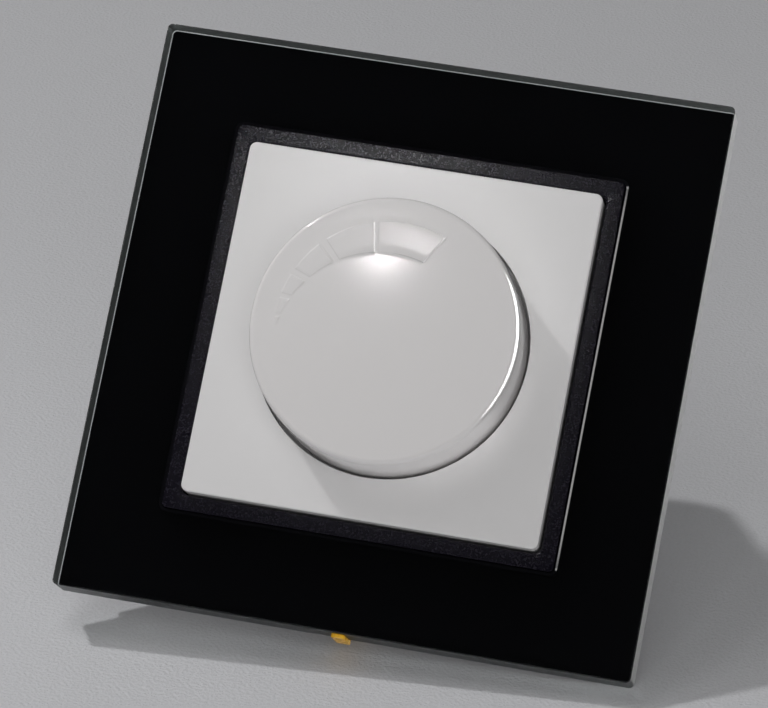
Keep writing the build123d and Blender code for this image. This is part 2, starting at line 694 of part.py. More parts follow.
def circuit_board():
    """Board with a waist for the claw pockets and a hole for the plunger."""
    outline = square(BOARD_SIDE, HOUSING_CORNER - HOUSING_WALL - BOARD_GAP)
    cut = Rectangle(BOARD_SIDE, 2 * (POCKET_HALF + HOUSING_WALL + MOVE_GAP))
    for sign in (-1, 1):
        outline -= Pos(sign * (BOARD_WAIST + BOARD_SIDE) / 2, 0) * cut
    outline -= Circle(PLUNGER_R + MOVE_GAP)
    for x, z in corners(POST_OFFSET):
        outline -= Pos(x, z) * Circle(SCREW_R + HOLE_GAP)
    for index in TERMINALS:
        outline -= Pos(index * PIN_PITCH, PIN_Z) * Circle(PIN_R)
    return prism(outline, BOARD_FRONT_Y, BOARD_BACK_Y)


def choke_core():
    """Powder ring of the interference choke."""
    front = PART_Y + 2 * COIL_R
    ring = Circle(CHOKE_R) - Circle(CHOKE_HOLE_R)
    return prism(Pos(CHOKE_X, CHOKE_Z) * ring, front, front + CHOKE_DEPTH)


def choke_winding():
    """Separate turns of wire round the ring, each a flat closed loop."""
    depth = CHOKE_DEPTH + 2 * COIL_R
    width = CHOKE_R - CHOKE_HOLE_R + 2 * COIL_R
    outer = Rectangle(width + COIL_R, depth + COIL_R)
    inner = Rectangle(width - COIL_R, depth - COIL_R)
    turn = extrude(outer - inner, amount=COIL_R / 2, both=True)
    centre = Pos(CHOKE_X, PART_Y + COIL_R + depth / 2, CHOKE_Z)
    turns = []
    for index in range(COIL_TURNS):
        angle = COIL_START_ANGLE + index * COIL_SWEEP_ANGLE / (COIL_TURNS - 1)
        loop = Rot(0, angle, 0) * (Pos((CHOKE_R + CHOKE_HOLE_R) / 2, 0, 0) * turn)
        turns.append(centre * loop)
    return Compound(children=turns)


def leads(x, z, pitch, back):
    """Pair of round leads from the board up to a part."""
    return [rod(x, z + end * pitch / 2, LEAD_R, BOARD_BACK_Y, back) for end in (-1, 1)]


def capacitor():
    """Moulded film capacitor with two leads."""
    width, depth, height = CAPACITOR_SIZE
    body = Pos(CAPACITOR_X, PART_Y + depth / 2, CAPACITOR_Z) * Box(width, depth, height)
    body = chamfer(back_edges(body), PART_EDGE)
    for lead in leads(CAPACITOR_X, CAPACITOR_Z, 2 * LEAD_PITCH, PART_Y):
        body += lead
    return body


def heat_sink():
    """Aluminium plate with a bent foot that cools the power switch."""
    width, depth, height = SINK_SIZE
    low = SINK_Z - height / 2
    back = PART_Y + depth
    plate = block(SINK_X, SINK_X + width, PART_Y, back, low, low + height)
    return plate + block(SINK_X, SINK_X + SINK_FOOT, back - width, back, low, low + height)


def triac():
    """Power switch in a flat three-lead case, bolted face to the heat sink."""
    width, depth, height = TRIAC_SIZE
    x = SINK_X + SINK_SIZE[0]
    body = Pos(x + width / 2, PART_Y + depth / 2, SINK_Z) * Box(width, depth, height)
    body = chamfer(body.faces().sort_by(Axis.X)[-1].edges(), PART_EDGE)
    half = TRIAC_LEAD / 2
    middle = x + width / 2
    for index in TERMINALS:
        z = SINK_Z + index * TRIAC_LEAD_PITCH
        body += block(middle - half, middle + half, BOARD_BACK_Y, PART_Y, z - half, z + half)
    return body


def fuse():
    """Radial fuse in a round cap."""
    body = rod(FUSE_X, FUSE_Z, FUSE_R, PART_Y, PART_Y + FUSE_LENGTH)
    body = chamfer(back_edges(body), PART_EDGE)
    for lead in leads(FUSE_X, FUSE_Z, LEAD_PITCH, PART_Y):
        body += lead
    return body


def terminal_module():
    """One pole: wire bore from the back, pocket for its cage and a screw well below."""
    half = TERMINAL_PITCH / 2
    width, depth, _ = CAGE_SIZE
    body = block(-half, half, TERMINAL_FRONT_Y, HOUSING_BACK_Y, TERMINAL_BOTTOM_Z, TERMINAL_TOP_Z)
    body -= rod(0, WIRE_Z, WIRE_R, HOUSING_BACK_Y - WIRE_DEPTH, HOUSING_BACK_Y)
    front = CAGE_Y - depth / 2
    body -= block(-width / 2, width / 2, front, front + depth, CAGE_SEAT_Z, CAGE_TOP_Z)
    return body - bar_z(0, CAGE_Y, TERMINAL_HEAD_R + HOLE_GAP, TERMINAL_BOTTOM_Z, CAGE_SEAT_Z)


def terminal_block():
    """Three poles that stand side by side and touch."""
    module = terminal_module()
    return Compound(children=[Pos(index * TERMINAL_PITCH, 0, 0) * module for index in TERMINALS])


def terminal_cages():
    """Three brass cages round the wire bores."""
    width, depth, height = CAGE_SIZE
    hole = CAGE_HOLE / 2
    cage = Pos(0, CAGE_Y, CAGE_TOP_Z - height / 2) * Box(width, depth, height)
    cage -= block(-hole, hole, CAGE_Y - depth, CAGE_Y + depth, WIRE_Z - hole, WIRE_Z + hole)
    cage -= bar_z(0, CAGE_Y, TERMINAL_SCREW_R, CAGE_SEAT_Z, WIRE_Z - hole)
    return Compound(children=[Pos(index * TERMINAL_PITCH, 0, 0) * cage for index in TERMINALS])


def terminal_screws():
    """Three clamping screws below the cages."""
    low = CAGE_SEAT_Z - TERMINAL_HEAD
    half, depth = TERMINAL_SLOT
    screw = bar_z(0, CAGE_Y, TERMINAL_SCREW_R, CAGE_SEAT_Z, WIRE_Z - CAGE_HOLE / 2)
    screw += bar_z(0, CAGE_Y, TERMINAL_HEAD_R, low, CAGE_SEAT_Z)
    reach = TERMINAL_HEAD_R
    screw -= block(-reach, reach, CAGE_Y - half, CAGE_Y + half, low, low + depth)
    return Compound(children=[Pos(index * TERMINAL_PITCH, 0, 0) * screw for index in TERMINALS])


NODES = {
    "glass_panel": glass_panel,
    "adhesive_strips": adhesive_strips,
    "carrier_frame": carrier_frame,
    "release_tab": release_tab,
    "surround_ring": surround_ring,
    "centre_plate": centre_plate,
    "plate_nut": plate_nut,
    "knob": knob,
    "knob_clip": knob_clip,
    "control_shaft": control_shaft,
    "wiper_disc": wiper_disc,
    "potentiometer": potentiometer,
    "push_switch": push_switch,
    "switch_plunger": switch_plunger,
    "return_spring": return_spring,
    "mounting_plate": mounting_plate,
    "claw_pins": claw_pins,
    "claw_left": lambda: claw(-1),
    "claw_right": lambda: claw(1),
    "claw_screw_left": lambda: claw_screw(-1),
    "claw_screw_right": lambda: claw_screw(1),
    "housing_cover": housing_cover,
    "housing_body": housing_body,
    "housing_screws": housing_screws,
    "circuit_board": circuit_board,
    "choke_core": choke_core,
    "choke_winding": choke_winding,
    "capacitor": capacitor,
    "heat_sink": heat_sink,
    "triac": triac,
    "fuse": fuse,
    "terminal_block": terminal_block,
    "terminal_cages": terminal_cages,
    "terminal_screws": terminal_screws,
}

os.makedirs("parts", exist_ok=True)
for name, make in NODES.items():
    export_step(make(), f"parts/{name}.step")
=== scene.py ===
"""Looks of a flush rotary dimmer with a glass cover frame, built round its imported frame.

Sizes in the classes are millimetres in the frame's own axes: X right, Z up, front towards -Y.
"""

import json
import logging
from abc import ABC, abstractmethod
from dataclasses import dataclass, replace
from enum import Enum, IntEnum
from functools import partial, reduce
from math import atan2, copysign, cos, degrees, hypot, pi, radians, sin, sqrt
from typing import Callable, Sequence

import bmesh
import bpy
from bpy.types import Material, Node, NodeSocket as Socket, NodeTree, Object
from mathutils import Euler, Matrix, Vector


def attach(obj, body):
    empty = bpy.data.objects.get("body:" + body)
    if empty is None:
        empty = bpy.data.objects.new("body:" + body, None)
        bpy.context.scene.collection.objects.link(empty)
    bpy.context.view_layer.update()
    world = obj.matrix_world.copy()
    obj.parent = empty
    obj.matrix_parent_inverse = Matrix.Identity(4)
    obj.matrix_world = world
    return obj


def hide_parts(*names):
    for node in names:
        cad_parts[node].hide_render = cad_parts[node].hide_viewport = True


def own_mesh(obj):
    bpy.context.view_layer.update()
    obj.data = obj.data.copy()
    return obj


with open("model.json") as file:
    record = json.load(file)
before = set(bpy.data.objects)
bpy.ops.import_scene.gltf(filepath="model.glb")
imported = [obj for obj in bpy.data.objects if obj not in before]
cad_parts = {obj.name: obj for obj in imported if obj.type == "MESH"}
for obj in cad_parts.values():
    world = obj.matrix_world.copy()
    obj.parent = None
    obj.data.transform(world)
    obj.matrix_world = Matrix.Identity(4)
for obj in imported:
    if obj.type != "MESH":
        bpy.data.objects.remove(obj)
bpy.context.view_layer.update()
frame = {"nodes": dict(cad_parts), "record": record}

MM = 0.001
TINY = 1e-7
FACING = 0.9
UPRIGHT = 0.1
EVEN_GRAIN = (1.0, 1.0, 1.0)
LOG = logging.getLogger("dimmer")
Point = tuple[float, ...]
Pair = tuple[float, float]
Colour = tuple[float, float, float]
SlotOf = Callable[[Vector, Vector], int]
Inputs = dict[str, object]


class Finish(Enum):
    """Finishes by the name of the material slot that they dress."""

    GLASS = "black_glass"
    FOAM = "foam_tape"
    BLACK = "black_plastic"
    AMBER = "amber_plastic"
    GRAPHITE = "graphite_plastic"
    WHITE = "white_plastic"
    WHITE_GLOSS = "white_gloss"
    NATURAL = "natural_plastic"
    SPRING = "spring_steel"
    ZINC = "zinc_steel"
    GREY = "grey_plastic"
    BOARD = "board_laminate"
    FERRITE = "ferrite"
    COPPER = "copper_wire"
    COMPONENT = "component_plastic"
    ALUMINIUM = "aluminium"
    TERMINAL = "terminal_plastic"
    BRASS = "brass"


Made = dict[Finish, Material]


def ease(t: float) -> float:
    """Smooth step from 0 to 1."""
    t = min(max(t, 0.0), 1.0)
    return t * t * (3 - 2 * t)


def softened(corners: Sequence[Point], steps: int = 3) -> list[Point]:
    """Round the corners of a closed section.

    Args:
        corners: points of the section; the last number of each is how far its rounding is set back.
        steps: short sides in each rounding.

    Returns:
        The points of the rounded section, without the last number.
    """
    done = []
    for index, (*here, setback) in enumerate(corners):
        here = Vector(here)
        start, end = (
            (Vector(other[:-1]) - here).normalized() * setback
            for other in (corners[index - 1], corners[(index + 1) % len(corners)])
        )
        shares = [step / steps for step in range(steps + 1)] if setback else [0.0]
        done += [tuple(here + start * (1 - t) ** 2 + end * t ** 2) for t in shares]
    return done


def square_ring(half: float, corner: float, y: float, straight: int = 1, arc: int = 6) -> list[Point]:
    """Points round an upright square with rounded corners.

    Args:
        half: half of the square's side.
        corner: radius of its corners.
        y: depth of the ring.
        straight: spans along each straight side.
        arc: spans round each corner.

    Returns:
        The ring's points, from the right side upwards.
    """
    flat = half - corner
    side = [(half, -flat + 2 * flat * step / straight) for step in range(straight)]
    for step in range(arc):
        angle = pi / 2 * step / arc
        side.append((flat + corner * cos(angle), flat + corner * sin(angle)))
    ring = []
    for c, s in ((1, 0), (0, 1), (-1, 0), (0, -1)):
        ring += [(x * c - z * s, y, x * s + z * c) for x, z in side]
    return ring


def facing_circle(radius: float, y: float, ring: Sequence[Point]) -> list[Point]:
    """Circle round the Y axis with one point for each point of another ring.

    Args:
        radius: the circle's radius.
        y: its depth.
        ring: the ring that gives the angles.

    Returns:
        The circle's points.
    """
    return [(radius * cos(a), y, radius * sin(a)) for a in (atan2(z, x) for x, _, z in ring)]


class Shape:
    """Faces gathered in millimetres that become one object."""

    def __init__(self) -> None:
        """Start with no faces."""
        self.points: list[Point] = []
        self.faces: list[tuple[int, ...]] = []

    def ring(self, points: Sequence[Point]) -> list[int]:
        """Add points and return their numbers."""
        self.points += points
        return list(range(len(self.points) - len(points), len(self.points)))

    def bridge(self, one: Sequence[int], two: Sequence[int]) -> None:
        """Join two closed rings of equal count, or a ring and a single point.

        Args:
            one: the numbers of one's points.
            two: those of the other's.
        """
        count = max(len(one), len(two))
        for index in range(count):
            after = (index + 1) % count
            near = (one[index % len(one)], one[after % len(one)])
            far = (two[after % len(two)], two[index % len(two)])
            self.faces.append(tuple(dict.fromkeys(near + far)))

    def skin(self, rings: Sequence[Sequence[Point]], closed: bool = True) -> None:
        """Join rings in a row.

        Args:
            rings: the points of each.
            closed: whether the last is joined to the first.
        """
        numbers = [self.ring(points) for points in rings]
        if closed:
            numbers.append(numbers[0])
        for one, two in zip(numbers, numbers[1:]):
            self.bridge(one, two)

    def tube(self, path: Sequence[Point], radius: float, sides: int = 10) -> None:
        """Add a round wire, closed at both ends.

        Args:
            path: points along its middle.
            radius: its radius.
            sides: flats round it.
        """
        places = [Vector(point) for point in path]
        across = Vector((0.0, 0.0, 1.0))
        turns = [2 * pi * side / sides for side in range(sides)]
        rings = []
        for index, place in enumerate(places):
            before, after = places[max(index - 1, 0)], places[min(index + 1, len(places) - 1)]
            along = (after - before).normalized()
            across = (across - along * across.dot(along)).normalized()
            up = along.cross(across)
            rings.append([tuple(place + (across * cos(a) + up * sin(a)) * radius) for a in turns])
        self.skin([[tuple(places[0])], *rings, [tuple(places[-1])]], closed=False)

    def build(
        self, name: str, materials: Sequence[Material], slot_of: SlotOf | None = None, smooth: float = 40.0
    ) -> Object:
        """Make the object.

        Args:
            name: its name.
            materials: its slots' materials.
            slot_of: picks a face's slot from its centre in millimetres and its normal.
            smooth: largest angle in degrees that is shaded smooth.

        Returns:
            The object, linked to the scene.
        """
        mesh = bpy.data.meshes.new(name)
        mesh.from_pydata([Vector(p) * MM for p in self.points], [], self.faces)
        made = bmesh.new()
        made.from_mesh(mesh)
        bmesh.ops.remove_doubles(made, verts=made.verts, dist=TINY)
        bmesh.ops.recalc_face_normals(made, faces=made.faces)
        for face in made.faces:
            face.smooth = True
            face.material_index = slot_of(face.calc_center_median() / MM, face.normal) if slot_of else 0
        made.to_mesh(mesh)
        made.free()
        mesh.set_sharp_from_angle(angle=radians(smooth))
        for material in materials:
            mesh.materials.append(material)
        piece = bpy.data.objects.new(name, mesh)
        bpy.context.scene.collection.objects.link(piece)
        weights = piece.modifiers.new("face_weights", "WEIGHTED_NORMAL")
        weights.keep_sharp = True
        return piece


def fit(piece: Object, node: str) -> None:
    """Let a piece stand for a CAD node and ride on its body.

    Args:
        piece: the finished piece.
        node: the CAD node that it replaces.
    """
    bodies = frame["record"]["behaviour"]["bodies"]
    body = next(name for name, nodes in bodies.items() if node in nodes)
    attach(piece, body)
    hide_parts(node)
    LOG.info("%s rides on %s, %d faces", piece.name, body, len(piece.data.polygons))


def dress(made: Made, finish: Finish, node: str) -> None:
    """Give a CAD node its material and keep its form.

    Args:
        made: the materials.
        finish: the node's finish.
        node: the CAD node.
    """
    for slot in frame["nodes"][node].material_slots:
        slot.material = made[finish]
    LOG.info("%s keeps its CAD form", node)


@dataclass(frozen=True)
class Rounded:
    """CAD nodes that get copies with rounded edges, as moulded or stamped.

    Faces that meet at less than the flat angle in degrees become one, and edges over the sharp
    angle are rounded by the radius.
    """

    finish: Finish
    radius: float
    nodes: tuple[str, ...]
    flat: float = 0.5
    sharp: float = 35.0
    segments: int = 2
    smooth: float = 180.0

    def shape_of(self, node: str) -> Shape:
        """The node's form with its flat faces whole."""
        copy = bmesh.new()
        copy.from_mesh(frame["nodes"][node].data)
        bmesh.ops.remove_doubles(copy, verts=copy.verts, dist=TINY)
        bmesh.ops.dissolve_limit(copy, angle_limit=radians(self.flat), verts=copy.verts, edges=copy.edges)
        copy.verts.index_update()
        shape = Shape()
        shape.points = [tuple(vert.co / MM) for vert in copy.verts]
        shape.faces = [tuple(vert.index for vert in face.verts) for face in copy.faces]
        copy.free()
        return shape

    def build(self, made: Made) -> None:
        """Replace each node by its copy."""
        for node in self.nodes:
            shape = self.shape_of(node)
            piece = shape.build(f"{node}_finished", [made[self.finish]], smooth=self.smooth)
            edges = piece.modifiers.new("soft_edges", "BEVEL")
            edges.width = self.radius * MM
            edges.segments = self.segments
            edges.limit_method = "ANGLE"
            edges.angle_limit = radians(self.sharp)
            piece.modifiers.move(1, 0)
            fit(piece, node)


class Tree:
    """Shader nodes of a material or world."""

    def __init__(self, tree: NodeTree) -> None:
        """Take the tree that the nodes go into."""
        self.tree = tree

    def add(self, kind: str, inputs: dict, **settings: object) -> Node:
        """Add a node.

        Args:
            kind: its type name.
            inputs: values or sockets by input name or number.
            settings: attributes of the node.

        Returns:
            The node.
        """
        node = self.tree.nodes.new(kind)
        for key, value in settings.items():
            setattr(node, key, value)
        for key, value in inputs.items():
            self.feed(node.inputs[key], value)
        return node

    def feed(self, socket: Socket, value: object) -> None:
        """Link or set an input.

        Args:
            socket: the input.
            value: a socket to link, or a value; a colour is given its alpha.
        """
        if isinstance(value, Socket):
            self.tree.links.new(value, socket)
        else:
            socket.default_value = (*value, 1.0) if socket.type == "RGBA" else value

    def between(
        self, value: Socket, low: float, high: float, start: float = 0.0, end: float = 1.0
    ) -> Socket:
        """Map a value from start and end to low and high, and hold it there."""
        inputs = {"Value": value, "From Min": start, "From Max": end, "To Min": low, "To Max": high}
        return self.add("ShaderNodeMapRange", inputs).outputs["Result"]

    def largest(self, *values: Socket) -> Socket:
        """The largest of some values."""
        larger = partial(self.add, "ShaderNodeMath", operation="MAXIMUM")
        return reduce(lambda one, two: larger({0: one, 1: two}).outputs[0], values)

    def mix(self, share: Socket, one: Socket, two: Socket) -> Socket:
        """Mix two shaders by a share from 0 to 1."""
        return self.add("ShaderNodeMixShader", {0: share, 1: one, 2: two}).outputs[0]


class Graph(Tree):
    """Nodes of one material round a single Principled shader, with places in millimetres."""

    def __init__(self, name: str) -> None:
        """Start a material of that name."""
        self.material = bpy.data.materials.new(name)
        self.material.use_nodes = True
        super().__init__(self.material.node_tree)
        self.shader = self.tree.nodes["Principled BSDF"]
        place = self.add("ShaderNodeTexCoord", {}).outputs["Object"]
        scaled = self.add("ShaderNodeVectorMath", {0: place, "Scale": 1 / MM}, operation="SCALE")
        self.place = scaled.outputs[0]

    def set(self, **inputs: object) -> None:
        """Set or link inputs of the shader; an underscore in a name stands for a space."""
        for key, value in inputs.items():
            self.feed(self.shader.inputs[key.replace("_", " ")], value)

    def noise(self, size: float, detail: float = 2.0, stretch: Point = EVEN_GRAIN) -> Socket:
        """Noise in three dimensions.

        Args:
            size: size of its features in millimetres.
            detail: how many finer octaves it has.
            stretch: how far it is drawn out along each axis.

        Returns:
            Its value.
        """
        along = tuple(1 / factor for factor in stretch)
        place = self.add("ShaderNodeVectorMath", {0: self.place, 1: along}, operation="MULTIPLY")
        inputs = {"Vector": place.outputs[0], "Scale": 1 / size, "Detail": detail}
        return self.add("ShaderNodeTexNoise", inputs).outputs[0]

    def cells(self, size: float, feature: str = "F1", output: str = "Distance") -> Socket:
        """Cells of a size in millimetres."""
        inputs = {"Vector": self.place, "Scale": 1 / size}
        return self.add("ShaderNodeTexVoronoi", inputs, feature=feature).outputs[output]

    def around(self, value: Socket, level: float, spread: float) -> Socket:
        """Map a value to a level, less or more by a spread."""
        return self.between(value, level - spread, level + spread)

    def blend(self, share: Socket, one: object, two: object) -> Socket:
        """Blend two colours by a share from 0 to 1."""
        return self.add("ShaderNodeMix", {0: share, 6: one, 7: two}, data_type="RGBA").outputs[2]

    def mottled(self, share: Socket, colour: Colour, spread: float) -> Socket:
        """A colour, darker or lighter by a spread."""
        return self.blend(share, shaded(colour, 1 - spread), shaded(colour, 1 + spread))

    def bump(self, height: Socket, relief: float) -> Socket:
        """Normal of a relief whose height is in millimetres."""
        inputs = {"Height": height, "Strength": 1.0, "Distance": relief * MM}
        return self.add("ShaderNodeBump", inputs).outputs["Normal"]


def shaded(colour: Colour, factor: float) -> Colour:
    """The colour, lighter or darker by a factor."""
    return tuple(min(part * factor, 1.0) for part in colour)


@dataclass(frozen=True)
class Recipe(ABC):
    """Finish that can make its material. Sizes are in millimetres."""

    name: str

    def make(self) -> Material:
        """Build the material."""
        graph = Graph(self.name)
        graph.set(**self.inputs(graph))
        return graph.material

    @abstractmethod
    def inputs(self, graph: Graph) -> Inputs:
        """Inputs of the shader by name."""


@dataclass(frozen=True)
class Grained(Recipe):
    """Moulded plastic or paint with a fine grain."""

    colour: Colour
    roughness: float
    grain: float = 0.3
    relief: float = 0.004
    mottle: float = 0.02
    uneven: float = 0.04
    gloss: float = 0.5
    colour_patch: float = 6.0
    colour_detail: float = 3.0
    gloss_patch: float = 2.5

    def inputs(self, graph: Graph) -> Inputs:
        """Inputs of the shader by name."""
        # where the colour's noise is given the grain's size and detail, the colour follows the relief:
        # painted shade, darker in its hollows
        patch = graph.noise(self.colour_patch, self.colour_detail)
        return dict(
            Base_Color=graph.mottled(patch, self.colour, self.mottle),
            Roughness=graph.around(graph.noise(self.gloss_patch), self.roughness, self.uneven),
            Normal=graph.bump(graph.noise(self.grain, detail=4.0), self.relief),
            Specular_IOR_Level=self.gloss,
        )


@dataclass(frozen=True)
class Flecked(Recipe):
    """Dark lacquer with a soft grain and sparse, glossier flecks."""

    colour: Colour
    fleck: Colour
    roughness: float
    size: float = 0.2
    sparse: float = 0.6
    uneven: float = 0.035
    gloss: float = 0.38
    cloud: float = 0.5
    mottle: float = 0.5
    grain: float = 0.3
    relief: float = 0.0005
    dulled: Pair = (0.2, 0.8)

    def inputs(self, graph: Graph) -> Inputs:
        """Inputs of the shader by name."""
        cell = graph.cells(self.size, output="Color")
        base = graph.mottled(graph.noise(self.cloud, detail=3.0), self.colour, self.mottle)
        dull, bright = self.roughness + self.uneven, self.roughness - self.uneven
        return dict(
            Base_Color=graph.blend(graph.between(cell, 0.0, 1.0, self.sparse), base, self.fleck),
            Roughness=graph.between(cell, dull, bright, *self.dulled),
            Normal=graph.bump(graph.noise(self.grain, detail=3.0), self.relief),
            Specular_IOR_Level=self.gloss,
        )


@dataclass(frozen=True)
class Glass(Recipe):
    """Clear glass, polished or ground."""

    tint: Colour
    roughness: float
    index: float = 1.52
    cloud: float = 9.0
    streak: float = 1.2
    shade: float = 0.99
    uneven: float = 0.4

    def inputs(self, graph: Graph) -> Inputs:
        """Inputs of the shader by name."""
        streak = graph.noise(self.streak)
        return dict(
            Base_Color=graph.blend(graph.noise(self.cloud), shaded(self.tint, self.shade), self.tint),
            Roughness=graph.around(streak, self.roughness, self.roughness * self.uneven),
            Transmission_Weight=1.0,
            IOR=self.index,
        )


@dataclass(frozen=True)
class Metal(Recipe):
    """Metal with drawn or rolled grain."""

    colour: Colour
    tarnish: Colour
    roughness: float
    stretch: Point = EVEN_GRAIN
    grain: float = 0.12
    relief: float = 0.003
    cloud: float = 3.5
    clouded: Pair = (0.35, 0.75)
    smoother: float = 0.07
    rougher: float = 0.1

    def inputs(self, graph: Graph) -> Inputs:
        """Inputs of the shader by name."""
        cloud = graph.between(graph.noise(self.cloud, detail=3.0), 0.0, 1.0, *self.clouded)
        lines = graph.noise(self.grain, 3.0, self.stretch)
        return dict(
            Base_Color=graph.blend(cloud, self.colour, self.tarnish),
            Metallic=1.0,
            Roughness=graph.between(lines, self.roughness - self.smoother, self.roughness + self.rougher),
            Normal=graph.bump(lines, self.relief),
        )


@dataclass(frozen=True)
class Foam(Recipe):
    """Closed-cell foam tape, with painted shade: darker in the hollows of its pores and lighter on the cell
    walls.
    """

    colour: Colour
    pore: float = 0.14
    relief: float = 0.05
    # how far the colour is darkened in the pores' hollows and lightened on their walls: painted shade
    mottle: float = 0.4
    rough: Pair = (0.75, 0.95)

    def inputs(self, graph: Graph) -> Inputs:
        """Inputs of the shader by name."""
        pores = graph.cells(self.pore)
        return dict(
            # painted shade: the colour follows the pores' relief, darker in the hollows and lighter on the
            # walls
            Base_Color=graph.mottled(pores, self.colour, self.mottle),
            Roughness=graph.between(pores, *self.rough),
            Normal=graph.bump(pores, self.relief),
        )


@dataclass(frozen=True)
class Amber(Recipe):
    """Tinted glossy moulding."""

    colour: Colour
    cloud: float = 0.8
    grain: float = 0.15
    relief: float = 0.004
    shade: float = 0.8
    rough: Pair = (0.22, 0.34)

    def inputs(self, graph: Graph) -> Inputs:
        """Inputs of the shader by name."""
        cloud = graph.noise(self.cloud, detail=3.0)
        return dict(
            Base_Color=graph.blend(cloud, shaded(self.colour, self.shade), self.colour),
            Roughness=graph.between(cloud, *self.rough),
            Normal=graph.bump(graph.noise(self.grain), self.relief),
        )


@dataclass(frozen=True)
class Laminate(Recipe):
    """Circuit board: solder resist over copper tracks."""

    resist: Colour
    track: Colour
    pitch: float = 3.2
    track_edge: Pair = (0.10, 0.14)
    rough: Pair = (0.3, 0.45)
    relief: float = 0.03
    gloss_patch: float = 0.6

    def inputs(self, graph: Graph) -> Inputs:
        """Inputs of the shader by name."""
        tracks = graph.between(graph.cells(self.pitch, "DISTANCE_TO_EDGE"), 1.0, 0.0, *self.track_edge)
        return dict(
            Base_Color=graph.blend(tracks, self.resist, self.track),
            Roughness=graph.between(graph.noise(self.gloss_patch, detail=3.0), *self.rough),
            Normal=graph.bump(tracks, self.relief),
        )


KNOB_WHITE = (0.70, 0.682, 0.68)
# Its colour noise is the same as its stipple relief, so the paint is darker in the stipple's hollows and
# lighter on its rises: painted shade.
PAINT = Grained(
    "black_back_paint", (0.004, 0.004, 0.005), 0.42, grain=0.5, relief=0.01, mottle=0.2, uneven=0.06,
    gloss=0.0, colour_patch=0.5, colour_detail=4.0, gloss_patch=3.0,
)
RECIPES: dict[Finish, Recipe] = {
    Finish.FOAM: Foam("foam_tape_black", (0.03, 0.03, 0.032)),
    Finish.BLACK: Grained("black_moulding", (0.016, 0.016, 0.018), 0.5, grain=0.25, relief=0.012),
    Finish.AMBER: Amber("amber_moulding", (0.85, 0.46, 0.02)),
    Finish.GRAPHITE: Flecked(
        "graphite_lacquer", (0.0035, 0.0028, 0.006), (0.028, 0.025, 0.035), roughness=0.19
    ),
    Finish.WHITE: Grained(
        "white_moulding", (0.70, 0.69, 0.69), 0.165, grain=0.5, relief=0.0005, mottle=0.008, uneven=0.02
    ),
    Finish.WHITE_GLOSS: Grained(
        "white_knob_moulding", KNOB_WHITE, 0.1, grain=1.2, relief=0.0005, mottle=0.008, uneven=0.01
    ),
    Finish.NATURAL: Grained("natural_moulding", (0.62, 0.6, 0.5), 0.4, grain=0.4, relief=0.006),
    Finish.SPRING: Metal(
        "spring_steel_wire", (0.5, 0.5, 0.51), (0.36, 0.35, 0.34), roughness=0.3, stretch=(6.0, 1.0, 6.0)
    ),
    Finish.ZINC: Metal(
        "zinc_plate", (0.66, 0.67, 0.69), (0.55, 0.56, 0.55), roughness=0.34, stretch=(1.0, 1.0, 9.0)
    ),
    Finish.GREY: Grained(
        "grey_moulding", (0.075, 0.077, 0.085), 0.55, grain=0.18, relief=0.016, mottle=0.06
    ),
    Finish.BOARD: Laminate("board_laminate_green", (0.015, 0.11, 0.045), (0.03, 0.2, 0.08)),
    Finish.FERRITE: Grained("powder_core", (0.42, 0.36, 0.06), 0.45, relief=0.02, mottle=0.12),
    Finish.COPPER: Metal("enamelled_copper", (0.72, 0.3, 0.12), (0.55, 0.2, 0.08), roughness=0.25),
    Finish.COMPONENT: Grained(
        "component_case", (0.03, 0.035, 0.05), 0.4, grain=0.2, relief=0.01, mottle=0.08
    ),
    Finish.ALUMINIUM: Metal(
        "mill_aluminium", (0.77, 0.78, 0.79), (0.66, 0.67, 0.68), roughness=0.36, stretch=(1.0, 1.0, 12.0)
    ),
    Finish.TERMINAL: Grained(
        "terminal_moulding", (0.46, 0.46, 0.44), 0.48, grain=0.2, relief=0.01, mottle=0.04
    ),
    Finish.BRASS: Metal("nickelled_brass", (0.74, 0.6, 0.33), (0.6, 0.45, 0.2), roughness=0.3),
}


class GlassSide(IntEnum):
    """Material slots of the glass panel."""

    POLISHED = 0
    GROUND = 1
    PAINTED = 2
    BEVELLED = 3


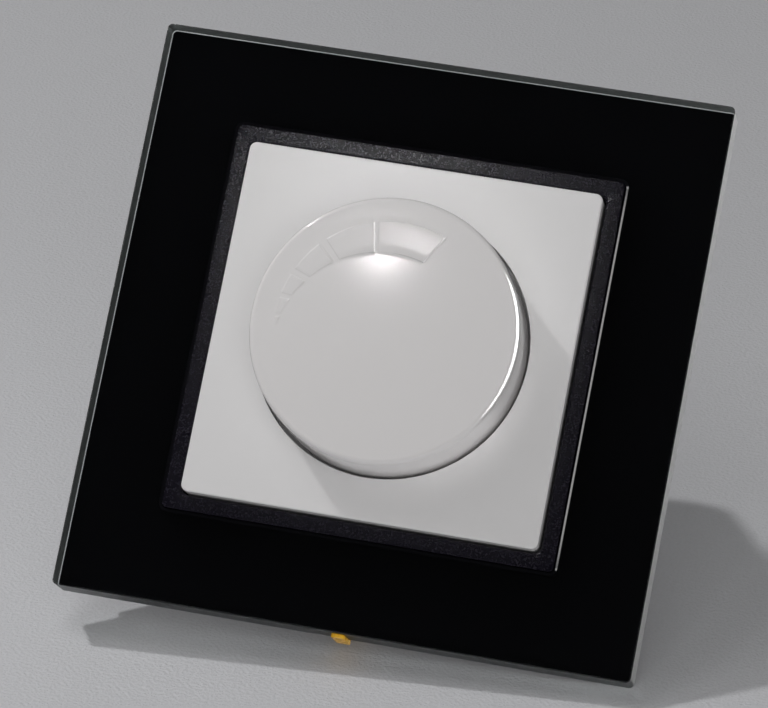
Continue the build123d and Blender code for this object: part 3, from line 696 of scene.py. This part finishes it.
@dataclass
class CoverFrame:
    """Glass panel with painted back, its foam strips, carrier and release tab."""

    half: float = 44.5
    corner: float = 0.8
    cut_half: float = 30.3
    cut_corner: float = 0.9
    front: float = -9.0
    back: float = -3.02
    arris: float = 0.17
    arris_edge: float = 0.04
    bevel: float = 0.45
    bevel_depth: float = 0.12
    smooth: float = 12.0
    finishes: tuple[Recipe, ...] = (
        Glass("polished_glass", (0.93, 0.975, 0.96), 0.004),
        Glass("ground_glass_edge", (0.86, 0.95, 0.92), 0.4),
        PAINT,
        # the bevel keeps the paint's painted shade in the stipple's hollows
        replace(PAINT, name="blackened_bevel", roughness=0.06, gloss=0.5, relief=0.0005, uneven=0.01),
    )
    rounded: tuple[Rounded, ...] = (
        Rounded(Finish.BLACK, 0.2, ("carrier_frame",)),
        Rounded(Finish.AMBER, 0.1, ("release_tab",)),
    )

    def section(self) -> list[Point]:
        """Section of the glass as (half side, corner radius, depth) with flat arrises."""
        a, e = self.arris, self.arris_edge
        h, c, k, r = self.half, self.corner, self.cut_half, self.cut_corner
        corners = [
            (h - a, c - a, self.front, e), (h, c, self.front + a, e),
            (h, c, self.back - a, e), (h - a, c - a, self.back, e),
            (k + a, r + a, self.back, e), (k, r, self.back - a, e),
            (k, r, self.front + self.bevel_depth, 0), (k + self.bevel, r + self.bevel, self.front, 0),
        ]
        return softened(corners, steps=2)

    def side_of(self, centre: Vector, normal: Vector) -> GlassSide:
        """Paint behind and in the cut-out, ground glass on the outer walls, polish elsewhere.

        Args:
            centre: a face's centre.
            normal: its normal.

        Returns:
            The face's slot.
        """
        inside = max(abs(centre.x), abs(centre.z)) < self.cut_half + self.bevel
        if normal.y > FACING or (inside and normal.y > -UPRIGHT):
            return GlassSide.PAINTED
        if inside:
            return GlassSide.BEVELLED
        return GlassSide.GROUND if abs(normal.y) < UPRIGHT else GlassSide.POLISHED

    def build(self, made: Made) -> None:
        """Build the glass and finish what is behind it."""
        shape = Shape()
        shape.skin([square_ring(half, corner, y, arc=8) for half, corner, y in self.section()])
        finishes = [finish.make() for finish in self.finishes]
        piece = shape.build("glass_cover", finishes, self.side_of, self.smooth)
        fit(piece, "glass_panel")
        dress(made, Finish.FOAM, "adhesive_strips")
        for group in self.rounded:
            group.build(made)


@dataclass
class Surround:
    """Collar that lines the cut-out, with its flange and inner ledge."""

    outer: float = 30.175
    outer_corner: float = 0.8
    opening: float = 27.8
    opening_corner: float = 1.4
    flange: float = 33.0
    flange_corner: float = 2.0
    ledge: float = 26.4
    front: float = -9.3
    back: float = -2.2
    flange_front: float = -3.0
    ledge_front: float = -4.4
    ledge_back: float = -3.4
    edge: float = 0.35
    fine: float = 0.08
    crisp: float = 0.02

    def build(self, made: Made) -> None:
        """Build the ring."""
        outer, opening = (self.outer, self.outer_corner), (self.opening, self.opening_corner)
        fine = self.fine
        corners = [
            (*outer, self.front, self.crisp), (*outer, self.flange_front, 0),
            (self.flange, self.flange_corner, self.flange_front, fine),
            (self.flange, self.flange_corner, self.back, fine),
            (*opening, self.back, fine), (*opening, self.ledge_back, 0),
            (self.ledge, self.opening_corner, self.ledge_back, fine),
            (self.ledge, self.opening_corner, self.ledge_front, fine),
            (*opening, self.ledge_front, 0), (*opening, self.front, self.edge),
        ]
        shape = Shape()
        shape.skin([square_ring(half, corner, y, arc=10) for half, corner, y in softened(corners, steps=4)])
        piece = shape.build("graphite_surround", [made[Finish.GRAPHITE]])
        fit(piece, "surround_ring")


@dataclass
class CentrePlate:
    """Square front plate with the round well for the knob, and the nut that holds it."""

    half: float = 27.5
    corner: float = 1.1
    wall: float = 1.4
    inner_corner: float = 0.5
    front: float = -11.0
    back: float = -4.45
    top_back: float = -9.4
    edge: float = 0.32
    well: float = 21.0
    well_rim: float = 0.1
    well_wall: float = 1.4
    floor: float = -6.8
    floor_back: float = -5.4
    hole: float = 5.15
    fine: float = 0.1
    well_corner: float = 0.15
    straight: int = 40
    arc: int = 8
    rounded: tuple[Rounded, ...] = (Rounded(Finish.NATURAL, 0.2, ("plate_nut",)),)

    def skirt(self) -> list[Point]:
        """Section from behind the top, down and up the skirt, to the front edge."""
        inner = self.half - self.wall
        return softened([
            (inner, self.inner_corner, self.top_back, 0), (inner, self.inner_corner, self.back, self.fine),
            (self.half, self.corner, self.back, self.fine), (self.half, self.corner, self.front, self.edge),
            (self.well, self.corner, self.front, 0),
        ], steps=5)[:-1]

    def bowl(self) -> list[Point]:
        """Section of the well from its rim to the hole in its floor and back behind the top."""
        outside = self.well + self.well_wall
        return softened([
            (self.half, self.front, 0), (self.well, self.front, self.well_rim),
            (self.well, self.floor, self.well_corner), (self.hole, self.floor, 0),
            (self.hole, self.floor_back, 0), (outside, self.floor_back, self.well_corner),
            (outside, self.top_back, 0),
        ], steps=4)[1:]

    def build(self, made: Made) -> None:
        """Build the plate and finish the nut."""
        squares = [square_ring(half, corner, y, self.straight, self.arc) for half, corner, y in self.skirt()]
        circles = [facing_circle(radius, y, squares[-1]) for radius, y in self.bowl()]
        shape = Shape()
        shape.skin(squares + circles)
        piece = shape.build("white_centre_plate", [made[Finish.WHITE]])
        fit(piece, "centre_plate")
        for group in self.rounded:
            group.build(made)


@dataclass
class Knob:
    """Turn-and-push knob with a level scale raised on its crowned face."""

    front: float = -19.85
    back: float = -8.5
    face: float = 19.55
    radius_front: float = 20.4
    radius_back: float = 20.5
    crown: float = 0.25
    rounding: float = 0.85
    rounding_steps: int = 8
    wall: float = 1.5
    wall_fillet: float = 0.6
    fine: float = 0.15
    hub: float = 4.6
    hub_back: float = -10.9
    hub_fillet: float = 0.4
    bore: float = 3.0
    bore_front: float = -17.2
    scale: float = 16.55
    scale_inner: float = 15.6
    scale_shift: float = 4.0
    scale_angle: float = 260.8
    scale_least: float = 0.45
    scale_proud: float = 0.02
    scale_rise: float = 0.0032
    scale_lift: float = 0.007
    scale_lift_from: float = 12.0
    scale_edge: float = 0.16
    apex: Pair = (-1.5, 1.8)
    steps: tuple[Pair, ...] = (
        (59.2, 99.2), (102.1, 132.7), (138.0, 158.5), (162.9, 174.9), (177.9, 187.1), (189.3, 193.7),
    )
    spacing: float = 2.0
    clearance: float = 0.6
    slope_rows: tuple[float, ...] = (-0.5, -0.25, 0.0, 0.25, 0.5)
    middle_rows: tuple[float, ...] = (0.12, 0.25, 0.4, 0.55, 0.7, 0.85, 0.95)
    scale_rows: tuple[float, ...] = (0.25, 0.5, 0.75)
    rim_rows: tuple[float, ...] = (0.3, 0.6, 1.0)
    smooth: float = 60.0
    grain: Grained = Grained("white_scale_grain", KNOB_WHITE, 0.135, grain=0.5, relief=0.0022, mottle=0.01)
    rounded: tuple[Rounded, ...] = (
        Rounded(Finish.SPRING, 0.08, ("knob_clip",)),
        Rounded(Finish.NATURAL, 0.12, ("control_shaft", "switch_plunger")),
        Rounded(Finish.BLACK, 0.1, ("wiper_disc", "push_switch")),
        Rounded(Finish.BLACK, 0.04, ("potentiometer",)),
    )

    def angles(self) -> list[float]:
        """Angles of the spokes in degrees, close together at the ends of the scale's steps."""
        width = self.edge_angle()
        near = [end + width * share for step in self.steps for end in step for share in self.slope_rows]
        even = [index * self.spacing for index in range(int(360 / self.spacing))]
        least = width * self.clearance
        return sorted([angle for angle in even if all(abs(angle - other) > least for other in near)] + near)

    def edge_angle(self) -> float:
        """Angle in degrees that the slope at a step's end takes up."""
        return degrees(self.scale_edge / self.scale)

    def reach(self, angle: float, radius: float, centre: Pair = (0.0, 0.0)) -> float:
        """Length of a spoke from the apex to a circle.

        Args:
            angle: the spoke's angle in degrees.
            radius: the circle's radius.
            centre: the circle's centre.

        Returns:
            The distance along the spoke.
        """
        away = Vector(self.apex) - Vector(centre)
        along = away.dot(Vector((cos(radians(angle)), sin(radians(angle)))))
        return sqrt(along ** 2 + radius ** 2 - away.length_squared) - along

    def inner_reach(self, angle: float) -> float:
        """Length of a spoke to the scale's inner edge."""
        turn = radians(self.scale_angle)
        centre = (self.scale_shift * cos(turn), self.scale_shift * sin(turn))
        widest = self.reach(angle, self.scale) - self.scale_least
        return min(self.reach(angle, self.scale_inner, centre), widest)

    def share(self, angle: float, low: float, high: float) -> float:
        """1 inside a step of the scale, 0 outside, with a slope at each end."""
        width = self.edge_angle()
        return ease((angle - low) / width + 0.5) * ease((high - angle) / width + 0.5)

    def step_height(self, angle: float, radius: float) -> float:
        """Height of the scale over the face.

        Args:
            angle: a spoke's angle in degrees; each step rises clockwise.
            radius: distance from the knob's axis; each step rises outwards.

        Returns:
            The height, which is 0 between the steps.
        """
        lift = self.scale_proud + self.scale_lift * max(radius - self.scale_lift_from, 0.0)
        return max(
            self.share(angle, low, high) * (lift + self.scale_rise * max(high - angle, 0.0))
            for low, high in self.steps
        )

    def spot(self, angle: float, length: float, raised: float) -> Point:
        """Point of the face on a spoke.

        Args:
            angle: the spoke's angle in degrees.
            length: distance from the apex.
            raised: 0 on the crowned face, 1 on the scale.

        Returns:
            The point.
        """
        x = self.apex[0] + length * cos(radians(angle))
        z = self.apex[1] + length * sin(radians(angle))
        radius = hypot(x, z)
        crowned = self.front + self.crown * (radius / self.face) ** 2
        return (x, crowned - raised * self.step_height(angle, radius), z)

    def spoke(self, angle: float) -> list[Point]:
        """Points of the face along a spoke, from the apex to where the rounding starts."""
        outer, rim = self.reach(angle, self.scale), self.reach(angle, self.face)
        inner, edge, half = self.inner_reach(angle), self.scale_edge, self.scale_edge / 2
        rows = [(inner * s, 0.0) for s in self.middle_rows]
        rows += [(inner + edge * s, ease(s + 0.5)) for s in self.slope_rows]
        rows += [((inner + half) * (1 - s) + (outer - half) * s, 1.0) for s in self.scale_rows]
        rows += [(outer + edge * s, ease(0.5 - s)) for s in self.slope_rows]
        rows += [((outer + half) * (1 - s) + rim * s, 0.0) for s in self.rim_rows]
        return [self.spot(angle, length, raised) for length, raised in rows]

    def on_scale(self, centre: Vector, normal: Vector) -> int:
        """Tell the tops of the scale's steps, which have a grain.

        Args:
            centre: a face's centre.
            normal: its normal.

        Returns:
            1 on top of a step, otherwise 0.
        """
        away = Vector((centre.x, centre.z)) - Vector(self.apex)
        angle = degrees(atan2(away.y, away.x)) % 360
        inside = self.inner_reach(angle) < away.length < self.reach(angle, self.scale)
        stepped = any(self.share(angle, low, high) > 0.5 for low, high in self.steps)
        return int(inside and stepped and normal.y < -FACING and centre.y < self.back)

    def body_section(self) -> list[Point]:
        """Section from the rounding round the skirt, inside and down the hub, as (radius, depth)."""
        inner = self.front + self.wall
        side = self.front + self.crown + self.rounding
        turns = [pi / 2 * step / self.rounding_steps for step in range(1, self.rounding_steps + 1)]
        rounding = [(self.face + self.rounding * sin(a), side - self.rounding * cos(a)) for a in turns]
        return rounding + softened([
            (self.radius_front, side, 0), (self.radius_back, self.back, self.fine),
            (self.radius_back - self.wall, self.back, self.fine),
            (self.radius_front - self.wall, inner, self.wall_fillet),
            (self.hub, inner, self.hub_fillet), (self.hub, self.hub_back, self.fine),
            (self.bore, self.hub_back, self.fine), (self.bore, self.bore_front, 0),
            (0, self.bore_front, 0),
        ])[1:]

    def build(self, made: Made) -> None:
        """Build the knob and finish the shaft train behind it."""
        rings = [[self.spot(0.0, 0.0, 0.0)], *zip(*(self.spoke(angle) for angle in self.angles()))]
        rim = rings[-1]
        for radius, y in self.body_section():
            rings.append(facing_circle(radius, y, rim) if radius else [(0.0, y, 0.0)])
        shape = Shape()
        shape.skin(rings, closed=False)
        materials = (made[Finish.WHITE_GLOSS], self.grain.make())
        piece = shape.build("white_knob", materials, self.on_scale, self.smooth)
        fit(piece, "knob")
        for group in self.rounded:
            group.build(made)


class Recess(Enum):
    """Driver recesses, by the half lengths of their two arms as shares of the head's radius."""

    CROSS = (0.62, 0.62)
    SLOT = (0.97, 0.0)


@dataclass(frozen=True)
class Screw:
    """Screw with a rolled thread and a driver recess, lying with its head in front, or upright."""

    seat: float
    tip: float
    radius: float
    head_radius: float
    head: float
    pitch: float
    recess: Recess = Recess.CROSS
    upright: bool = False
    depth: float = 0.55
    half_width: float = 0.13
    spans: int = 6
    rows: int = 6
    thread: float = 0.2
    point: float = 0.6
    draft: float = 0.96
    dome: tuple[Pair, ...] = ((0.985, 0.08), (1.0, 0.3), (1.0, 0.92), (0.96, 1.0))

    def ring(self, y: float, reach: Callable[[float], float]) -> list[Point]:
        """Ring with points where the recess has corners.

        Args:
            y: its depth.
            reach: its radius at an angle.

        Returns:
            The ring's points.
        """
        tip = atan2(self.half_width, self.recess.value[0])
        span = pi / 2 - 2 * tip
        quarter = [0.0, *(tip + span * step / self.spans for step in range(self.spans + 1))]
        angles = [pi / 2 * turn + angle for turn in range(4) for angle in quarter]
        return [(reach(angle) * cos(angle), y, reach(angle) * sin(angle)) for angle in angles]

    def recess_reach(self, angle: float) -> float:
        """Distance from the axis to the recess's wall at an angle."""
        long, cross = self.recess.value
        c, s = (max(abs(part), TINY) for part in (cos(angle), sin(angle)))
        reach = min(long / c, self.half_width / s)
        if cross:
            reach = max(reach, min(self.half_width / c, cross / s))
        return reach * self.head_radius

    def thread_reach(self, angle: float, y: float) -> float:
        """Radius of the threaded shank, which tapers at the tip.

        Args:
            angle: an angle round the axis.
            y: a depth.

        Returns:
            The radius there.
        """
        crest = ease(1 - abs(2 * ((y / self.pitch - angle / (2 * pi)) % 1.0) - 1))
        taper = min((self.tip - y) / self.radius + self.point, 1.0)
        return self.radius * taper * (1 - self.thread * (1 - crest))

    def rings(self) -> list[list[Point]]:
        """Rings from the bottom of the recess, over the head and down the shank to the tip."""
        front = self.seat - self.head
        floor = front + self.depth * self.head
        rings = [
            [(0.0, floor, 0.0)],
            self.ring(floor, lambda angle: self.draft * self.recess_reach(angle)),
            self.ring(front, self.recess_reach),
        ]
        for share, drop in self.dome:
            rings.append(self.ring(front + self.head * drop, lambda angle: self.head_radius * share))
        count = int((self.tip - self.seat) / self.pitch * self.rows)
        for row in range(count + 1):
            y = self.seat + (self.tip - self.seat) * row / count
            rings.append(self.ring(y, lambda angle: self.thread_reach(angle, y)))
        rings.append([(0.0, self.tip, 0.0)])
        return [[(x, -z, y) for x, y, z in ring] for ring in rings] if self.upright else rings


@dataclass
class Insert:
    """Mounting plate, claws, housing, board and terminals."""

    claw_screw: Screw = Screw(seat=-1.05, tip=12.0, radius=1.7, head_radius=3.1, head=2.1, pitch=0.6)
    claw_screw_x: float = 23.5
    housing_screw: Screw = Screw(seat=-1.0, tip=17.0, radius=1.25, head_radius=2.4, head=1.5, pitch=0.9)
    housing_screw_offset: float = 16.8
    terminal_screw: Screw = Screw(
        seat=-20.7, tip=-17.65, radius=1.5, head_radius=2.1, head=1.4, pitch=0.5,
        recess=Recess.SLOT, upright=True,
    )
    terminal_pitch: float = 9.0
    cage_y: float = 19.0
    choke: Point = (-5.5, 14.4, 14.0)
    choke_radius: float = 5.15
    wire: float = 0.45
    wire_path: Pair = (2.25, 3.5)
    wire_squareness: float = 0.3
    wire_sides: int = 8
    wire_spans: int = 24
    turns: int = 16
    wound: Pair = (-20.0, -340.0)
    spring_ends: Pair = (12.2, 16.55)
    spring_radius: float = 2.75
    spring_wire: float = 0.25
    spring_turns: int = 4
    spring_spans: int = 28
    push: float = 1.5
    thread_smooth: float = 50.0
    wire_smooth: float = 60.0
    rounded: tuple[Rounded, ...] = (
        Rounded(Finish.ZINC, 0.12, ("mounting_plate", "claw_pins")),
        Rounded(Finish.ZINC, 0.06, ("claw_left", "claw_right")),
        Rounded(Finish.GREY, 0.25, ("housing_body",)),
        Rounded(Finish.GREY, 0.12, ("housing_cover",)),
        Rounded(Finish.FERRITE, 0.3, ("choke_core",)),
        Rounded(Finish.COMPONENT, 0.06, ("capacitor", "triac", "fuse")),
        Rounded(Finish.ALUMINIUM, 0.1, ("heat_sink",)),
    )

    def threaded(self, made: Made, node: str, screw: Screw, places: list[Point]) -> None:
        """Build the screws that stand for a CAD node.

        Args:
            made: the materials.
            node: the CAD node.
            screw: the form of each.
            places: where they are.
        """
        rings = screw.rings()
        shape = Shape()
        for a, b, c in places:
            shape.skin([[(x + a, y + b, z + c) for x, y, z in ring] for ring in rings], closed=False)
        piece = shape.build(f"{node}_threaded", [made[Finish.ZINC]], smooth=self.thread_smooth)
        fit(piece, node)

    def screws(self, made: Made) -> None:
        """Build the claw, housing and terminal screws."""
        for side, word in ((-1, "left"), (1, "right")):
            self.threaded(made, f"claw_screw_{word}", self.claw_screw, [(side * self.claw_screw_x, 0.0, 0.0)])
        away = self.housing_screw_offset
        corners = [(away, 0.0, away), (-away, 0.0, away), (-away, 0.0, -away), (away, 0.0, -away)]
        self.threaded(made, "housing_screws", self.housing_screw, corners)
        cages = [(index * self.terminal_pitch, self.cage_y, 0.0) for index in (-1, 0, 1)]
        self.threaded(made, "terminal_screws", self.terminal_screw, cages)

    def winding(self, made: Made) -> None:
        """Build the choke's one wound wire."""
        width, depth = self.wire_path
        start, end = self.wound
        x, y, z = self.choke
        count = self.turns * self.wire_spans
        path = []
        for share in (step / count for step in range(count + 1)):
            turn = 2 * pi * self.turns * share
            across = [copysign(abs(f(turn)) ** self.wire_squareness, f(turn)) for f in (cos, sin)]
            angle = radians(start + (end - start) * share)
            reach = self.choke_radius + width * across[0]
            path.append((x + reach * cos(angle), y + depth * across[1], z + reach * sin(angle)))
        shape = Shape()
        shape.tube(path, self.wire, self.wire_sides)
        piece = shape.build("choke_wire_wound", [made[Finish.COPPER]], smooth=self.wire_smooth)
        fit(piece, "choke_winding")

    def spring(self, made: Made) -> None:
        """Build the switch's coiled return spring."""
        front, back = self.spring_ends
        radius, count = self.spring_radius, self.spring_turns * self.spring_spans
        path = []
        for step in range(count + 1):
            angle = 2 * pi * self.spring_turns * step / count
            path.append((radius * cos(angle), front + (back - front) * step / count, radius * sin(angle)))
        shape = Shape()
        shape.tube(path, self.spring_wire)
        piece = shape.build("return_spring_coiled", [made[Finish.SPRING]], smooth=self.wire_smooth)
        fit(piece, "return_spring")
        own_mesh(piece)

    def build(self, made: Made) -> None:
        """Build the screws, wire and spring, and finish the rest."""
        self.screws(made)
        self.winding(made)
        self.spring(made)
        for group in self.rounded:
            group.build(made)
        dress(made, Finish.BOARD, "circuit_board")
        dress(made, Finish.TERMINAL, "terminal_block")
        dress(made, Finish.BRASS, "terminal_cages")


@dataclass
class Lamp:
    """Area lamp that points at a place on the dimmer's front, in metres."""

    name: str
    direction: Point
    distance: float
    size: float
    power: float
    mirrored: bool = True
    lighting: bool = True
    height: float = 0.0
    target: Point = (0.0, -0.01, 0.0)
    only: str = ""

    def build(self) -> None:
        """Place the lamp."""
        data = bpy.data.lights.new(self.name, "AREA")
        data.shape = "RECTANGLE" if self.height else "DISK"
        data.size = self.size
        data.size_y = self.height or self.size
        data.energy = self.power
        lamp = bpy.data.objects.new(self.name, data)
        towards = Vector(self.direction).normalized()
        lamp.location = Vector(self.target) + towards * self.distance
        lamp.rotation_euler = towards.to_track_quat("Z", "Y").to_euler()
        lamp.visible_glossy = self.mirrored
        lamp.visible_diffuse = lamp.visible_transmission = self.lighting
        bpy.context.scene.collection.objects.link(lamp)
        if self.only:
            lit = bpy.data.collections.new(f"{self.name}_lights")
            lit.objects.link(bpy.data.objects[self.only])
            lamp.light_linking.receiver_collection = lit


@dataclass
class Studio:
    """Pale floor that the dimmer leans on, world, lamps and camera, in metres but for the grain."""

    floor_point: Point = (0.0445, -0.003, -0.0445)
    floor_normal: Point = (-0.0578, -0.627, 0.777)
    floor_radius: float = 1.4
    floor_sides: int = 96
    floor_grain: float = 0.6
    floor_relief: float = 0.2
    floor_grain_shade: float = 0.07
    floor_rough: Pair = (0.5, 0.65)
    floor_colour: Colour = (0.55, 0.55, 0.57)
    floor_glow: float = 0.06
    backdrop: Colour = (0.62, 0.62, 0.63)
    fill: float = 0.06
    dark: float = 0.012
    dark_front: Pair = (-0.75, -0.2)
    camera_place: Point = (0.12204, -0.66468, -0.12754)
    camera_turn: Point = (100.8916, -10.9496, 8.5513)
    lens: float = 210.94
    sensor: float = 36.0
    clip: Pair = (0.01, 20.0)
    lamps: tuple[Lamp, ...] = (
        Lamp("key_lamp", (-0.648, -0.342, 0.680), 0.92, 0.06, 3.2),
        Lamp("near_lamp", (-0.45, -0.72, 0.52), 0.2, 0.12, 0.088, mirrored=False),
        Lamp("front_lamp", (-0.2309, -1.1488, 0.2942), 1.208, 0.015, 0.122),
        Lamp("fill_lamp", (0.16, -0.9, -0.28), 1.2, 1.2, 6.4, mirrored=False),
        Lamp("low_lamp", (0.8, -0.06, -0.52), 1.0, 0.7, 2.9, mirrored=False),
        Lamp("back_lamp", (0.45, 0.85, 0.3), 1.2, 0.5, 5.0),
        Lamp("window_lamp", (0.92, -0.31, 0.2), 1.0, 1.2, 125.0, lighting=False, height=1.3,
             only="white_knob"),
        Lamp("edge_lamp", (-0.602, -0.776, 0.189), 1.0, 0.08, 0.23, lighting=False, height=0.14,
             target=(0.0306, -0.009, 0.0), only="glass_cover"),
    )

    def floor(self) -> None:
        """Disc of pale laminate, seen only from above, that lets lamps below it light the dimmer."""
        shape = Shape()
        turns = [2 * pi * step / self.floor_sides for step in range(self.floor_sides)]
        rim = [(self.floor_radius * cos(a) / MM, self.floor_radius * sin(a) / MM, 0.0) for a in turns]
        shape.faces.append(tuple(shape.ring(rim)))
        graph = Graph("floor_laminate")
        grain = graph.noise(self.floor_grain)
        rays = graph.add("ShaderNodeLightPath", {}).outputs
        seen = graph.largest(rays["Is Camera Ray"], rays["Is Glossy Ray"], rays["Is Transmission Ray"])
        graph.set(
            # painted shade: the colour follows the grain's relief, darker in its hollows and lighter on its
            # rises
            Base_Color=graph.mottled(grain, self.floor_colour, self.floor_grain_shade),
            Roughness=graph.between(grain, *self.floor_rough),
            Normal=graph.bump(grain, self.floor_relief),
            Emission_Color=self.backdrop,
            Emission_Strength=graph.between(seen, 0.0, self.floor_glow),
        )
        back = graph.add("ShaderNodeNewGeometry", {}).outputs["Backfacing"]
        clear = graph.add("ShaderNodeBsdfTransparent", {}).outputs[0]
        under = graph.largest(back, rays["Is Shadow Ray"])
        mixed = graph.mix(under, graph.shader.outputs[0], clear)
        graph.feed(graph.tree.nodes["Material Output"].inputs["Surface"], mixed)
        floor = shape.build("floor", [graph.material])
        floor.location = self.floor_point
        floor.rotation_euler = Vector(self.floor_normal).to_track_quat("Z", "Y").to_euler()

    def world(self) -> None:
        """Pale backdrop for the camera, even fill, and a dark front for reflections."""
        world = bpy.data.worlds.new("studio")
        world.use_nodes = True
        bpy.context.scene.world = world
        world.node_tree.nodes.clear()
        tree = Tree(world.node_tree)
        direction = tree.add("ShaderNodeTexCoord", {}).outputs["Generated"]
        along = tree.add("ShaderNodeSeparateXYZ", {0: direction}).outputs["Y"]
        room = tree.between(along, self.dark, self.backdrop[0], *self.dark_front)
        colours = ((self.fill,) * 3, room, self.backdrop)
        fill, mirrored, seen = (
            tree.add("ShaderNodeBackground", {"Color": colour}).outputs[0] for colour in colours
        )
        rays = tree.add("ShaderNodeLightPath", {}).outputs
        traced = tree.largest(rays["Is Glossy Ray"], rays["Is Transmission Ray"])
        sky = tree.mix(rays["Is Camera Ray"], tree.mix(traced, fill, mirrored), seen)
        tree.add("ShaderNodeOutputWorld", {"Surface": sky})

    def camera(self) -> None:
        """Camera at the photograph's place and angle."""
        data = bpy.data.cameras.new("camera")
        data.lens = self.lens
        data.sensor_width = self.sensor
        data.clip_start, data.clip_end = self.clip
        camera = bpy.data.objects.new("camera", data)
        camera.location = self.camera_place
        camera.rotation_euler = Euler([radians(angle) for angle in self.camera_turn], "XYZ")
        bpy.context.scene.collection.objects.link(camera)
        bpy.context.scene.camera = camera

    def build(self) -> None:
        """Build the stage."""
        self.floor()
        self.world()
        for lamp in self.lamps:
            lamp.build()
        self.camera()
        bpy.context.scene.view_settings.view_transform = "Standard"


def main() -> None:
    logging.basicConfig(level=logging.INFO, format="%(message)s")
    made = {finish: recipe.make() for finish, recipe in RECIPES.items()}
    for part in (CoverFrame(), Surround(), CentrePlate(), Knob(), Insert()):
        LOG.info("building %s", type(part).__name__)
        part.build(made)
    Studio().build()


if __name__ == "__main__":
    main()
